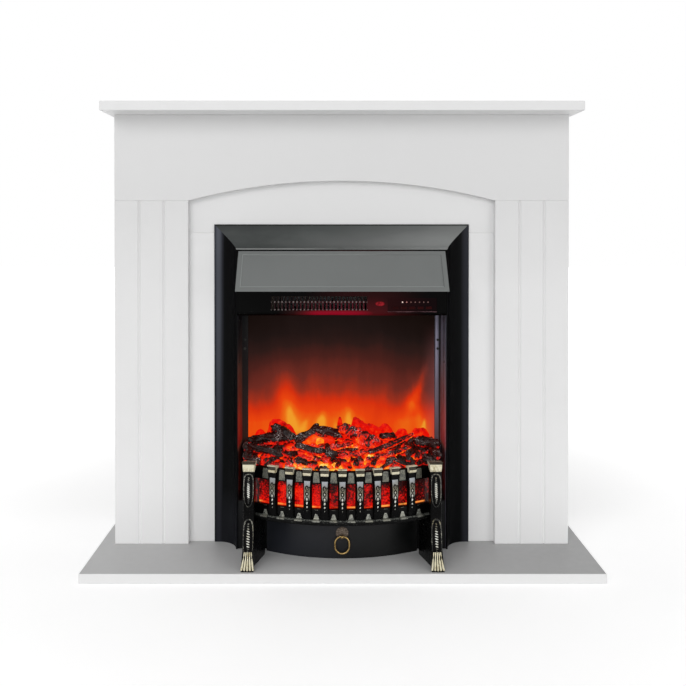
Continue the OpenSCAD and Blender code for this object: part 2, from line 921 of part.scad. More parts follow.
module heating_element() {
    x0 = x_grille - grille_w / 2;
    fin_pitch = 8;
    z0 = z_ceiling + 2 * sheet;
    y0 = y_housing + 8;
    depth = 12;
    color([0.8, 0.8, 0.78])
        difference() {
            box([x0, y0, z0], [x0 + grille_w, y0 + depth, z0 + 34]);
            for (x = [x0 + 4:fin_pitch:x0 + grille_w - fin_pitch])
                box([x, y0 - over, z0 + 4], [x + fin_pitch - 1.5, y0 + depth + over, z0 + 30]);
        }
}

module thermal_cutout() {
    color([0.7, 0.7, 0.66])
        translate([x_grille + 40, y_housing + 20, z_ceiling + sheet + housing_h]) {
            cylinder(r = 8, h = 5);
            cylinder(r = 5, h = 7);
        }
}

// ---- flame effect ----

module flicker_spindle() {
    pitch = 2 * (spindle_end - 18) / flags;
    color([0.85, 0.85, 0.87])
        translate([0, y_spindle, z_spindle]) {
            rod_x(spindle_r, -spindle_end - bearing_w, spindle_end + spindle_motor_len / 2);
            for (i = [0:flags - 1])
                rotate([i * 67, 0, 0])
                    translate([(i - (flags - 1) / 2) * pitch, 0, 0])
                        box([-pitch * 0.4, -flag_reach, -0.4], [pitch * 0.4, flag_reach, 0.4]);
        }
}

module spindle_motor() {
    color([0.62, 0.62, 0.6])
        difference() {
            union() {
                translate([0, y_spindle, z_spindle])
                    rod_x(spindle_motor_r, spindle_end, spindle_end + spindle_motor_len);
                box([spindle_end + spindle_motor_len - 2, y_spindle, z_spindle - 18],
                    [spindle_end + spindle_motor_len, y_back - sheet, z_spindle + 18]);
            }
            translate([0, y_spindle, z_spindle])
                rod_x(spindle_r + running_gap, spindle_end - over,
                    spindle_end + spindle_motor_len / 2 + slide_gap);
        }
}

module spindle_bearing() {
    color([0.9, 0.9, 0.86])
        difference() {
            box([-spindle_end - bearing_w, y_spindle - bearing_r, z_spindle - bearing_r],
                [-spindle_end, y_back - sheet, z_spindle + bearing_r]);
            translate([0, y_spindle, z_spindle])
                rod_x(spindle_r + running_gap, -spindle_end - bearing_w - over, over - spindle_end);
        }
}

module lamp_board() {
    lamp_pitch = 34;
    lamps = 8;
    y0 = y_infill - 5;
    x = x_bed_front - bed_wall - 8;
    d = 9;
    color([0.95, 0.75, 0.35]) {
        box([-x, y0 - d, z_bed_shelf], [x, y0 + d, z_bed_shelf + circuit_t]);
        for (i = [0:lamps - 1])
            translate([(i - (lamps - 1) / 2) * lamp_pitch, y0, z_bed_shelf + circuit_t])
                cylinder(r1 = 5, r2 = 3.5, h = 6);
    }
}

module power_board() {
    z0 = z_floor + 6;
    y0 = y_infill + 45;
    color([0.12, 0.4, 0.2]) {
        box([-70, y0, z0], [60, y0 + 55, z0 + circuit_t]);
        for (x = [-64, 54], y = [y0 + 6, y0 + 49])
            translate([x, y, z_floor]) cylinder(r = 3, h = z0 - z_floor);
        box([-58, y0 + 14, z0 + circuit_t], [-24, y0 + 40, z0 + 26]);
        for (x = [-14, 8])
            box([x, y0 + 18, z0 + circuit_t], [x + 18, y0 + 34, z0 + 18]);
        translate([42, y0 + 16, z0 + circuit_t]) cylinder(r = 6, h = 20);
        box([-50, y0 + 44, z0 + circuit_t], [46, y0 + 53, z0 + 13]);
    }
}

module cable_gland() {
    y_inner = y_back - sheet - gland_flange_t;
    color([0.08, 0.08, 0.08])
        translate([x_gland, 0, z_gland])
            difference() {
                union() {
                    rod_y(gland_r, y_inner, y_inner + gland_len);
                    rod_y(gland_flange_r, y_back, y_back + gland_flange_t);
                    rod_y(gland_flange_r, y_inner, y_back - sheet);
                }
                rod_y(gland_bore_r, y_inner - over, y_inner + gland_len + over);
            }
}

// ---- plinth and mains switch ----

x_switch = 118;
z_switch = hearth_t + 46;
switch_size = [16, 27];
switch_d = 20;
rocker_half = 10.3;
rocker_tilt = 10;
rocker_pin_r = 1.5;
y_rocker = y_plinth + 2.4;

module plinth_panel() {
    color([0.12, 0.12, 0.125])
        difference() {
            union() {
                box([-x_cheek, y_plinth, z_floor], [x_cheek, y_plinth + sheet, z_bed_shelf]);
                box([-x_cheek, y_plinth, z_bed_shelf - sheet], [x_cheek, y_channel, z_bed_shelf]);
            }
            box([x_switch - switch_size.x / 2, y_plinth - over, z_switch - switch_size.y / 2],
                [x_switch + switch_size.x / 2, y_plinth + sheet + over, z_switch + switch_size.y / 2]);
        }
}

module switch_housing() {
    w = switch_size.x / 2 - screw_gap;
    h = switch_size.y / 2 - screw_gap;
    recess_w = 5.4;
    recess_h = rocker_half + 1;
    color([0.06, 0.06, 0.06])
        difference() {
            union() {
                box([x_switch - w - 2, y_plinth - 1.5, z_switch - h - 2],
                    [x_switch + w + 2, y_plinth, z_switch + h + 2]);
                box([x_switch - w, y_plinth, z_switch - h],
                    [x_switch + w, y_plinth + switch_d, z_switch + h]);
            }
            box([x_switch - recess_w, y_plinth - 1.5 - over, z_switch - recess_h],
                [x_switch + recess_w, y_plinth + 8, z_switch + recess_h]);
            translate([0, y_rocker, z_switch])
                rod_x(rocker_pin_r + running_gap, x_switch - recess_w - 1.5, x_switch + recess_w + 1.5);
        }
}

module switch_rocker() {
    // Side profile about the pivot: [y, z]
    profile = [
        [-4.2, 0], [-5.8, rocker_half - 0.6], [-2, rocker_half], [2.5, 3],
        [2.5, -3], [-2, -rocker_half], [-5.8, 0.6 - rocker_half]
    ];
    color([0.5, 0.04, 0.04])
        translate([x_switch, y_rocker, z_switch])
            rotate([-rocker_tilt, 0, 0]) {
                across(-5, 5, profile);
                rod_x(rocker_pin_r, -6.6, 6.6);
            }
}

// ---- fuel bed ----

// The bed's plan: bowed front between the columns, full width behind them
module bed_plan() {
    y_rear = y_channel - slide_gap;
    y_step = y_front + hearth_front - 45;
    steps = 16;
    polygon(concat(
        [[x_bed, y_rear], [-x_bed, y_rear], [-x_bed, y_step], [-x_bed_front, y_step]],
        [for (i = [0:steps]) let (x = -x_bed_front + 2 * x_bed_front * i / steps) [x, arc_y(r_bed, x)]],
        [[x_bed_front, y_step], [x_bed, y_step]]
    ));
}

// Places a log's axis along X, at the log's own place
module at_log(log) {
    translate([log[0], log[1], z_bed_shelf + log[2]]) rotate([0, log[6], log[5]]) children();
}

module fuel_bed() {
    y_nose = y_arc - r_bed;
    y_rear = y_channel;
    color([0.25, 0.1, 0.06])
        difference() {
            intersection() {
                translate([0, 0, z_bed_shelf]) linear_extrude(z_bed_rear) bed_plan();
                across(-x_bed, x_bed, [
                    [y_nose - over, z_bed_shelf], [y_rear, z_bed_shelf], [y_rear, z_bed_rear],
                    [y_nose + 60, z_bed_front + 12], [y_nose - over, z_bed_front]
                ]);
            }
            box([bed_wall - x_bed_front, y_plinth + bed_wall, z_bed_shelf - over],
                [x_bed_front - bed_wall, y_rear - bed_wall, z_bed_front - 3 * bed_wall]);
            for (log = LOGS)
                at_log(log) rod_x(log[4] + log_gap, -log[3] / 2 - log_gap, log[3] / 2 + log_gap);
        }
}

module logs() {
    color([0.2, 0.16, 0.13])
        for (log = LOGS)
            at_log(log) rod_x(log[4], -log[3] / 2, log[3] / 2);
}

module ember_front() {
    color([0.8, 0.1, 0.03])
        bowed_band(r_ember - ember_t, r_ember, z_bed_shelf, z_bed_front - 4, x_bed_front);
}

// ---- fret ----

rail_lip = 2;         // how far the lower rail stands out in front of the bars
bar_root = 0.4;       // how deep a bar runs into the rails it is cast with
column_d = 30;        // depth of a column behind its cap
column_splay = 22;    // how far a column's foot stands out in front of its cap
block_in = 15.5;      // how far a leg block reaches in under the bed
block_back = 58;      // how far a leg block runs back

// Places children at each bar, turned to face outwards: -Y is the front, Y = 0 the upper rail's face
module at_bars() {
    for (i = [0:bars - 1])
        let (x = (i - (bars - 1) / 2) * bar_pitch)
            translate([0, y_arc, 0])
                rotate([0, 0, asin(x / r_rail)])
                    translate([0, -r_rail, 0]) children();
}

// One bar: a bellied side profile, cut to a section that narrows towards the front
module fret_bar() {
    z0 = z_lower + lower_lip_t - bar_root;
    h = z_bar_top - z0;
    belly = 3;
    steps = 12;
    intersection() {
        across(-bar_w / 2, bar_w / 2, concat(
            [[bar_root, z0 + h], [bar_root, z0]],
            [for (i = [0:steps])
                [belly - bar_d - belly * sin(i * 180 / steps), z0 + h * i / steps]]
        ));
        translate([0, 0, z0])
            linear_extrude(h)
                polygon([
                    [-bar_w / 2, bar_root], [-bar_face / 2, -bar_d],
                    [bar_face / 2, -bar_d], [bar_w / 2, bar_root]
                ]);
    }
}

module fret_front() {
    color([0.06, 0.06, 0.06]) {
        bowed_band(r_rail - rail_d, r_rail, z_upper, z_upper + upper_rail_t, x_column);
        bowed_band(r_rail - rail_d, r_rail, z_lower, z_lower + lower_rail_t, x_column);
        bowed_band(r_rail - rail_d / 2, fret_r + rail_lip, z_lower, z_lower + lower_lip_t, x_column);
        at_bars() fret_bar();
    }
}

// A column's side profile with its front belly, and the leg block that runs back from it
module fret_columns() {
    z0 = hearth_t + slide_gap;
    h = z_column - z0;
    y_rear = y_column + column_d;
    x_out = x_column + column_w;
    color([0.07, 0.07, 0.07])
        on_both_sides() {
            across(x_column, x_out, [
                [y_rear, z0], [y_column - column_splay, z0],
                [y_column - 0.91 * column_splay, z0 + 0.21 * h],
                [y_column - 0.6 * column_splay, z0 + 0.36 * h],
                [y_column - 0.27 * column_splay, z0 + 0.52 * h],
                [y_column - 0.4 * column_splay, z0 + 0.7 * h],
                [y_column - 0.32 * column_splay, z0 + 0.84 * h],
                [y_column, z_column], [y_rear, z_column]
            ]);
            translate([0, 0, z0])
                linear_extrude(z_lower - z0)
                    polygon([
                        [x_out, y_rear], [x_column, y_column - column_splay + 3],
                        [x_column - block_in, y_column + block_back - 7],
                        [x_column - block_in, y_column + block_back], [x_out, y_column + block_back]
                    ]);
        }
}

cap_w = 16.6;
cap_h = 13.6;
column_cap_w = 27;
column_cap_h = 20;

module fret_caps() {
    z_cap = z_bar_top;
    color([0.8, 0.75, 0.6]) {
        at_bars()
            across(-cap_w / 2, cap_w / 2, [
                [-bar_d - 1.5, z_cap], [-bar_d - 2.5, z_cap + cap_h * 0.5], [-bar_d - 3.5, z_cap + cap_h],
                [0, z_cap + cap_h], [rail_d - 1, z_cap + cap_h * 0.8],
                [rail_d - 1, z_upper + upper_rail_t + 0.1],
                [-0.1, z_upper + upper_rail_t + 0.1], [-0.1, z_cap]
            ]);
        on_both_sides()
            across(x_column + column_w / 2 - column_cap_w / 2, x_column + column_w / 2 + column_cap_w / 2, [
                [y_column - 3, z_column], [y_column - 6, z_column + column_cap_h * 0.6],
                [y_column - 8, z_column + column_cap_h], [y_column + column_d - 4, z_column + column_cap_h],
                [y_column + column_d - 2, z_column]
            ]);
    }
}

module fret_feet() {
    z0 = hearth_t + slide_gap;
    foot_h = 32;
    y_heel = y_column - column_splay;
    toes = 5;
    toe_pitch = foot_w / toes;
    color([0.78, 0.72, 0.56])
        on_both_sides()
            difference() {
                across(x_column + column_w / 2 - foot_w / 2, x_column + column_w / 2 + foot_w / 2, [
                    [y_heel - 0.05, z0], [y_heel - 20, z0], [y_heel - 20, z0 + 4], [y_heel - 12, z0 + 14],
                    [y_heel - 4, z0 + foot_h], [y_heel + 1.6, z0 + foot_h], [y_heel, z0 + 3]
                ]);
                for (i = [1:toes - 1])
                    translate([x_column + column_w / 2 - foot_w / 2 + i * toe_pitch, 0, 0])
                        linear_extrude(z0 + foot_h + over)
                            polygon([[-0.8, y_heel - 21], [0.8, y_heel - 21], [0, y_heel - 4]]);
            }
}

// ---- ash pan cover ----

post_r = 3.4;
post_len = 7;
rosette_t = 3;
rosette_rise = 4.4;   // rosette's centre above the ring's pivot
stud_r = 2;
stud_len = 4;
eye_gap = 0.5;
y_pan = y_arc - r_pan;
y_rosette = y_pan;
y_pivot = y_rosette - rosette_t - post_len + post_r;

module ash_pan_cover() {
    z0 = hearth_t + slide_gap;
    foot_x = 110;
    foot_depth = 15;
    color([0.07, 0.07, 0.08])
        difference() {
            union() {
                bowed_band(r_pan - pan_t, r_pan, z0, z0 + pan_h, pan_w / 2);
                bowed_band(r_pan - foot_depth, r_pan - pan_t / 2, z0, z0 + pan_t, foot_x);
            }
            translate([0, 0, z_pivot + rosette_rise])
                rod_y(stud_r + screw_gap, y_pan - over, y_pan + pan_t + over);
        }
}

module ring_rosette() {
    color([0.6, 0.5, 0.35])
        difference() {
            union() {
                translate([0, 0, z_pivot + rosette_rise]) {
                    rod_y(rosette_r, y_rosette - rosette_t, y_rosette);
                    rod_y(stud_r, y_rosette - 1, y_rosette + stud_len);
                }
                translate([0, 0, z_pivot]) rod_y(post_r, y_pivot - post_r, y_rosette - rosette_t / 2);
            }
            translate([0, y_pivot, z_pivot]) rod_x(ring_wire_r + eye_gap, -post_r - over, post_r + over);
        }
}

module ring_bend() {
    rotate_extrude(angle = 180, $fn = 96) translate([ring_r, 0]) circle(ring_wire_r);
}

module pull_ring() {
    color([0.75, 0.6, 0.35])
        translate([0, y_pivot, z_pivot - ring_r])
            rotate([90, 0, 0]) {
                ring_bend();
                translate([0, -ring_straight, 0]) rotate([0, 0, 180]) ring_bend();
                for (x = [-ring_r, ring_r])
                    translate([x, 0, 0]) rotate([90, 0, 0]) cylinder(r = ring_wire_r, h = ring_straight);
            }
}

hearth_board();
left_leg_board();
right_leg_board();
header_board();
top_infill_panel();
left_infill_stile();
right_infill_stile();
left_side_panel();
right_side_panel();
mantel_shelf();
rear_rail();
corner_blocks();
wall_brackets();
screws();
trim_top();
trim_left();
trim_right();
hood();
casing_wrap();
casing_back();
casing_floor();
cheek_panels();
screen_channels();
chamber_ceiling();
flame_screen();
control_fascia();
heater_grille();
receiver_window();
button_plate();
indicator_lights();
power_button();
flame_button();
dimmer_button();
heat_button();
timer_button();
control_circuit_board();
blower_housing();
blower_wheel();
blower_motor();
heating_element();
thermal_cutout();
flicker_spindle();
spindle_motor();
spindle_bearing();
lamp_board();
power_board();
cable_gland();
plinth_panel();
switch_housing();
switch_rocker();
fuel_bed();
logs();
ember_front();
fret_front();
fret_columns();
fret_caps();
fret_feet();
ash_pan_cover();
ring_rosette();
pull_ring();
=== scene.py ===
"""Electric fireplace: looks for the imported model. The mesh builders work in millimetres, as the CAD does."""
import random
from math import asin, copysign, cos, exp, pi, radians, sin, sqrt

import bmesh
import bpy
from mathutils import Matrix, Vector, noise


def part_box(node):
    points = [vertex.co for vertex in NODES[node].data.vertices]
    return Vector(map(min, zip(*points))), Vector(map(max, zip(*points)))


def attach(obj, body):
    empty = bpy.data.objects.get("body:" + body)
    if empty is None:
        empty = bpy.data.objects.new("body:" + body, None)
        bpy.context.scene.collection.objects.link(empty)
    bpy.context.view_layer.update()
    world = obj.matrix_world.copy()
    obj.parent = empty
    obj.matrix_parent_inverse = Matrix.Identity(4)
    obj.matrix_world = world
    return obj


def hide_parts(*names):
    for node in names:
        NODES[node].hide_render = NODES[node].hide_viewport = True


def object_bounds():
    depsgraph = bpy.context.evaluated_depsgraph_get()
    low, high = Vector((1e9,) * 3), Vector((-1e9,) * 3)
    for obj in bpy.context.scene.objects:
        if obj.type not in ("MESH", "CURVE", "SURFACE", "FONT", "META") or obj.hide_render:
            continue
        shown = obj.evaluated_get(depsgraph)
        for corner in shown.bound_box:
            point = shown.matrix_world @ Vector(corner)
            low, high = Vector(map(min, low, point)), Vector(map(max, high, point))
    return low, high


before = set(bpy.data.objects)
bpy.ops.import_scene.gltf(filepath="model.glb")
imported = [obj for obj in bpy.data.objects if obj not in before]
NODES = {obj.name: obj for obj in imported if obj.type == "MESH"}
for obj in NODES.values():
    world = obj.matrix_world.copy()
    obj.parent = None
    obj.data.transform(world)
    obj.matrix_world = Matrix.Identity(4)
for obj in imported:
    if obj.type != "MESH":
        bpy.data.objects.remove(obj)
cad_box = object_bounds()
MM = 0.001
FRONT, SIDEWAYS = Vector((0, -1, 0)), Vector((1, 0, 0))


def corners(node):
    """A CAD node's lowest and highest corners, in millimetres."""
    lo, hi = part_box(node)
    return [c / MM for c in lo], [c / MM for c in hi]


def step(x, a, b):
    """Smooth step from 0 at a to 1 at b."""
    t = min(1.0, max(0.0, (x - a) / (b - a)))
    return t * t * (3 - 2 * t)


def lerp(a, b, t):
    """The value that is the share t of the way from a to b."""
    return a + (b - a) * t


def circle(n):
    """n equal angles round a circle."""
    return [2 * pi * k / n for k in range(n)]


def ripple(x, y, z):
    """Smooth noise from -1 to 1 at a point."""
    return noise.noise(Vector((x, y, z)))


def turned(degrees, axis):
    """A turn about an axis."""
    return Matrix.Rotation(radians(degrees), 4, axis)


def shifted(x, y, z):
    """A move by x, y and z."""
    return Matrix.Translation((x, y, z))


def curve(points, t):
    """A Catmull-Rom curve's value at t through (t, value) points."""
    i = 0
    while i < len(points) - 2 and t > points[i + 1][0]:
        i += 1
    t0, v1 = points[i]
    t1, v2 = points[i + 1]
    v0 = points[i - 1][1] if i else v1
    v3 = points[i + 2][1] if i + 2 < len(points) else v2
    u = (t - t0) / (t1 - t0)
    return 0.5 * (2 * v1 + (v2 - v0) * u + (2 * v0 - 5 * v1 + 4 * v2 - v3) * u * u
                  + (3 * v1 - v0 - 3 * v2 + v3) * u ** 3)


# ---- shader nodes, written as expressions ----

def col(text):
    """A linear colour from an sRGB hex value."""
    c = [int(text[i:i + 2], 16) / 255 for i in (0, 2, 4)]
    return [v / 12.92 if v < 0.04045 else ((v + 0.055) / 1.055) ** 2.4 for v in c] + [1.0]


def stops(text):
    """A ramp's stops from text with a position and a shade for each."""
    return [(float(p), shade) for p, shade in (stop.split() for stop in text.split(","))]


def math_method(kind):
    """An operator of Out that makes a Math node."""
    return lambda self, other: self.nodes.math(kind, self, other)


class Out:
    """A node's output, which adds, subtracts, multiplies and divides as a number does."""

    __add__, __sub__ = math_method("ADD"), math_method("SUBTRACT")
    __mul__, __truediv__ = math_method("MULTIPLY"), math_method("DIVIDE")

    def __init__(self, nodes, socket):
        self.nodes, self.socket = nodes, socket

    def __abs__(self):
        return self.nodes.math("ABSOLUTE", self)


class Nodes:
    """A node tree. A value is a number, a colour as sRGB hex, or another node's Out."""

    def __init__(self, tree):
        self.t = tree

    def put(self, socket, value):
        if isinstance(value, Out):
            self.t.links.new(value.socket, socket)
        elif isinstance(value, str):
            socket.default_value = col(value)
        elif value is not None:
            socket.default_value = value

    def node(self, kind, values=(), out=0, **props):
        n = self.t.nodes.new("ShaderNode" + kind)
        for k, v in props.items():
            setattr(n, k, v)
        for k, v in dict(values).items():
            self.put(n.inputs[k], v)
        return Out(self, n.outputs[out])

    def math(self, kind, a, b=None):
        return self.node("Math", {0: a, 1: b}, operation=kind)

    def most(self, a, b):
        return self.math("MAXIMUM", a, b)

    def above(self, a, b):
        return self.math("GREATER_THAN", a, b)

    def seen(self):
        """1 for rays that are seen, straight or by a mirror or glass, and 0 for those that light things."""
        rays = [self.node("LightPath", out="Is %s Ray" % k) for k in ("Camera", "Glossy", "Transmission")]
        return self.most(self.most(rays[0], rays[1]), rays[2])


class Mat(Nodes):
    """A Principled material. x and z are the object's coordinates in metres."""

    SOCKETS = {"color": "Base Color", "rough": "Roughness", "metal": "Metallic", "glow": "Emission Color",
               "power": "Emission Strength", "spec": "Specular IOR Level"}

    def __init__(self, name):
        self.m = bpy.data.materials.new(name)
        self.m.use_nodes = True
        super().__init__(self.m.node_tree)
        self.b = self.t.nodes["Principled BSDF"]
        self.obj = self.node("TexCoord", out="Object")
        self.x, _, self.z = self.xyz(self.obj)

    def xyz(self, vector):
        n = self.t.nodes.new("ShaderNodeSeparateXYZ")
        self.put(n.inputs[0], vector)
        return [Out(self, socket) for socket in n.outputs]

    def stretch(self, *scale):
        return self.node("Mapping", {"Vector": self.obj, "Scale": scale})

    def noise(self, scale, detail=3, rough=0.5, vector=None, out=0):
        return self.node("TexNoise", {"Vector": vector or self.obj, "Scale": scale, "Detail": detail,
                                      "Roughness": rough}, out)

    def drift(self, amount, *args):
        """Noise about zero, amount from its lowest to its highest."""
        return (self.noise(*args) - 0.5) * amount

    def cells(self, scale, out=0, vector=None, **props):
        return self.node("TexVoronoi", {"Vector": vector or self.obj, "Scale": scale}, out, **props)

    def range(self, value, a, b, lo=0.0, hi=1.0):
        """A smooth step from lo at a to hi at b."""
        return self.node("MapRange", {0: value, 1: a, 2: b, 3: lo, 4: hi}, interpolation_type="SMOOTHSTEP")

    def gloss(self, low, high, scale, detail=3):
        """A roughness that drifts between two values."""
        return self.range(self.noise(scale, detail), 0.3, 0.7, low, high)

    def ramp(self, fac, table):
        """Colours or levels by position, as text for stops() or as pairs."""
        n = self.t.nodes.new("ShaderNodeValToRGB")
        e = n.color_ramp.elements
        table = stops(table) if isinstance(table, str) else table
        table = [(p, col(c) if isinstance(c, str) else [c, c, c, 1]) for p, c in table]
        (e[0].position, e[0].color), (e[1].position, e[1].color) = table[0], table[-1]
        for p, shade in table[1:-1]:
            e.new(p).color = shade
        self.put(n.inputs[0], fac)
        return Out(self, n.outputs[0])

    def shades(self, a, b, *args):
        """A colour that drifts between two shades."""
        return self.ramp(self.noise(*args), [(0.3, a), (0.7, b)])

    def grain(self, scale, strength, distance=0.0003, detail=3):
        """A fine even relief."""
        return self.bump(self.noise(scale, detail), strength, distance)

    def mix(self, fac, a, b):
        return self.node("Mix", {0: fac, 6: a, 7: b}, 2, data_type="RGBA")

    def attr(self, name):
        return self.node("Attribute", out=2, attribute_name=name)

    def bump(self, height, strength, distance):
        values = {"Height": height, "Strength": strength, "Distance": distance}
        self.put(self.b.inputs["Normal"], self.node("Bump", values))
        return self

    def set(self, **values):
        for k, v in values.items():
            self.put(self.b.inputs[self.SOCKETS[k]], v)
        return self


# ---- materials ----

def painted(name, shades, rough, grain=700, bump=0.08, spec=0.5, patch=9, metal=0.0):
    """Paint or moulded plastic: a slow drift between two shades, a fine grain and a varied gloss."""
    m = Mat(name)
    m.set(color=m.shades(*shades, patch, 4, 0.6), rough=m.gloss(*rough, patch * 6), spec=spec, metal=metal)
    return m.grain(grain, bump, 0.0004, 2)


def white_paint_shaded_by_height(name, shades):
    """Satin white paint. shades gives its colour at heights in metres, drifting a little; that change with
    height is painted light and shade.
    """
    m = Mat(name)
    m.set(color=m.ramp(m.z + m.drift(0.12, 9, 4, 0.6), shades), rough=m.gloss(0.42, 0.52, 54), spec=0.35)
    return m.grain(900, 0.06, 0.0004, 2)


def hearth_laminate():
    """White edges and a grey laminate on the upward face, with painted light and shade across it."""
    m = Mat("hearth_laminate")
    up = m.range(m.xyz(m.node("NewGeometry", out="True Normal"))[2], 0.9, 0.98)
    across = m.range(m.x + m.drift(0.1, 7, 5, 0.6), -0.55, 0.55)
    # The laminate is painted paler in the middle and darker towards the ends, most at the right: painted light
    # and painted shade.
    top = m.ramp(across, "0 bcbcbc, 0.24 c2c2c2, 0.36 d8d8d8, 0.64 d8d8d8, 0.76 bcbcbc, 1 a6a6a6")
    m.set(color=m.mix(up, "f4f4f4", top), rough=m.gloss(0.4, 0.5, 60), spec=0.3)
    return m.grain(800, 0.06, 0.0004, 2)


def bare_board():
    """Raw particle board on the unseen backs and blocks."""
    m = Mat("raw_board")
    tone = m.xyz(m.cells(460, 1))[0]
    chips = m.ramp(tone, "0 8d7150, 1 cfb288")
    m.set(color=m.mix(0.5, m.shades("a3855e", "bfa177", 120, 4), chips), rough=0.85, spec=0.2)
    return m.bump(m.cells(620, vector=m.stretch(1, 1, 2.4)), 0.3, 0.0006)


def zinc(name, dark="8f9496", pale="b4b8ba", rough=(0.3, 0.5)):
    """Galvanised sheet with its spangle."""
    m = Mat(name)
    tone = m.xyz(m.cells(130, 1))[0]
    m.set(color=m.ramp(tone, [(0.0, dark), (1.0, pale)]), metal=0.9, rough=m.range(tone, 0, 1, *rough))
    return m.grain(400, 0.05)


# How hot the middle of the flame screen is: height, heat
HEAT = [
    (222, 0.87), (251, 0.86), (267, 0.83), (283, 0.79), (300, 0.73), (316, 0.655), (332, 0.60), (350, 0.545),
    (365, 0.49), (397, 0.36), (430, 0.19), (480, 0.09)]
FIRE = ("0 140b08, 0.15 1e1311, 0.28 2c1916, 0.42 481f1a, 0.56 6b2920, 0.66 9a2e1b, "
        "0.76 d32f0c, 0.86 e8430c, 0.94 eb6c14, 1 f09a28")
# Plumes: foot x, foot z, top x, top z, width at the foot, width at the top, added heat
PLUMES = [
    (-98, 236, -130, 402, 20, 26, 0.13), (-103, 246, -108, 300, 9, 8, 0.05),
    (-181, 236, -188, 330, 24, 18, 0.02), (126, 240, 158, 372, 26, 14, 0.05),
    (146, 290, 196, 410, 11, 6, 0.17), (160, 236, 156, 376, 9, 7, 0.06), (-30, 236, -34, 312, 46, 34, 0.04),
    (30, 240, 26, 312, 34, 28, 0.03), (15, 236, 15, 296, 12, 9, 0.12), (-42, 236, -38, 280, 12, 6, 0.12),
    (-12, 230, -12, 262, 7, 5, 0.06), (169, 236, 171, 266, 5, 2, 0.13), (-76, 232, -70, 262, 9, 4, 0.07),
    (36, 232, 38, 262, 8, 4, 0.05), (70, 236, 84, 300, 26, 18, -0.03), (-150, 330, -150, 400, 22, 22, 0.03)]


def flames():
    """The picture of the fire that the lamps throw on the screen, drawn from its heat at each point."""
    m = Mat("flame_glass")
    sway = m.xyz(m.noise(26, 4, 0.5, m.stretch(1, 1, 0.45), 1))
    x = m.x + (sway[0] - 0.5) * m.range(m.z, 0.22, 0.42, 0.006, 0.05)
    z = m.z + (sway[1] - 0.5) * 0.03
    foot, top = HEAT[0][0], HEAT[-1][0]
    heat = m.ramp((z - foot * MM) / ((top - foot) * MM), [((a - foot) / (top - foot), b) for a, b in HEAT])
    heat = heat + m.range(abs(x + 0.02), 0.04, 0.2, 0.0, -0.13) * m.range(z, 0.25, 0.30)
    for x0, z0, x1, z1, w0, w1, gain in PLUMES:
        t = m.node("MapRange", {0: z, 1: z0 * MM, 2: z1 * MM})
        middle = m.node("MapRange", {0: t, 3: x0 * MM, 4: x1 * MM})
        width = m.node("MapRange", {0: t, 3: w0 * MM, 4: w1 * MM})
        off = (x - middle) / width
        fade = m.range(t, 1.0, 0.35) * m.range(z, z0 * MM - 0.03, z0 * MM)
        heat = heat + m.math("EXPONENT", off * off * -1.0) * fade * gain
    heat = heat + m.drift(0.10, 40, 3, 0.5, m.stretch(1, 1, 0.3))
    dusk = m.range(m.x, 0.16, 0.2) * m.range(m.z, 0.46, 0.34, 0.0, 0.45)
    return m.set(color="020202", rough=m.gloss(0.3, 0.4, 30), glow=m.mix(dusk, m.ramp(heat, FIRE), "7c4a4a"),
                 power=1.0, spec=0.01)


def glowing(name, cold, ash_and_glint_shade="e2d8d4", grain=260):
    """Coals: char with pale veins and mottles that are partly ash and partly painted glints, and the lamps'
    red light in the cracks. Reads coal_heat and coal_glint_and_ash.
    """
    m = Mat(name)
    fine = m.noise(grain, 5, 0.65)
    heat = m.attr("coal_heat") + (fine - 0.5) * 0.36 + m.drift(0.8, 42, 4, 0.6)
    char = m.ramp(fine, [(0.32, cold[0]), (0.52, cold[1]), (0.72, cold[2])])
    # The pale veins and mottles are partly ash and partly painted glints.
    vein = m.range(abs(m.noise(85, 2) - 0.5), 0.03, 0.0, 0.0, 0.75)
    mottle = m.range(m.noise(420, 2, 0.6), 0.53, 0.62)
    patch = m.range(m.noise(46, 2), 0.47, 0.62)
    ash = m.attr("coal_glint_and_ash") * patch * ((vein + 0.3) * mottle)
    shell = m.mix(m.range(heat, 0.6, 0.45) * m.range(fine, 0.5, 0.66, 0.0, 0.22), char, "6a4a42")
    shell = m.mix(m.range(m.noise(24, 2), 0.42, 0.58) * 0.5, shell, "3c0d0a")
    shell = m.mix(m.range(heat, 0.42, 0.6), shell, "2a0605")
    glow = m.ramp(heat * 0.75, "0.28 000000, 0.34 2a0403, 0.4 8a0804, 0.46 d21005, 0.58 ee2406, "
                  "0.7 f8500a, 0.82 fc8a1a, 0.92 ffc23c, 1 ffe080")
    m.set(color=m.mix(ash, shell, ash_and_glint_shade), rough=m.range(fine, 0.3, 0.7, 0.22, 0.55), glow=glow, power=1.0,
          spec=0.2)
    return m.bump(fine, 0.5, 0.0012)


def ridge_resin():
    """The clear red humps behind the logs, lit from below."""
    m = Mat("ridge_resin")
    heat = m.noise(110, 4, 0.65) + m.range(m.z, 0.262, 0.225) * 0.12
    m.set(color="1a0202", rough=m.gloss(0.2, 0.4, 200), spec=0.04, power=1.0,
          glow=m.ramp(heat, "0.34 8a0503, 0.5 d40b04, 0.62 ea1004, 0.8 f4400c"))
    return m.grain(300, 0.2, 0.0008)


# How brightly the ember panel is lit behind the gaps of the fret: smoothed share of the way across, light
PANES = [
    (0.0, 0.55), (0.04, 0.6), (0.12, 0.7), (0.17, 0.8), (0.29, 0.75), (0.36, 0.5), (0.43, 0.27), (0.50, 0.3),
    (0.575, 0.45), (0.65, 0.5), (0.72, 0.55), (0.78, 0.45), (0.84, 0.43), (0.89, 0.4), (0.935, 0.35),
    (1.0, 0.15)]


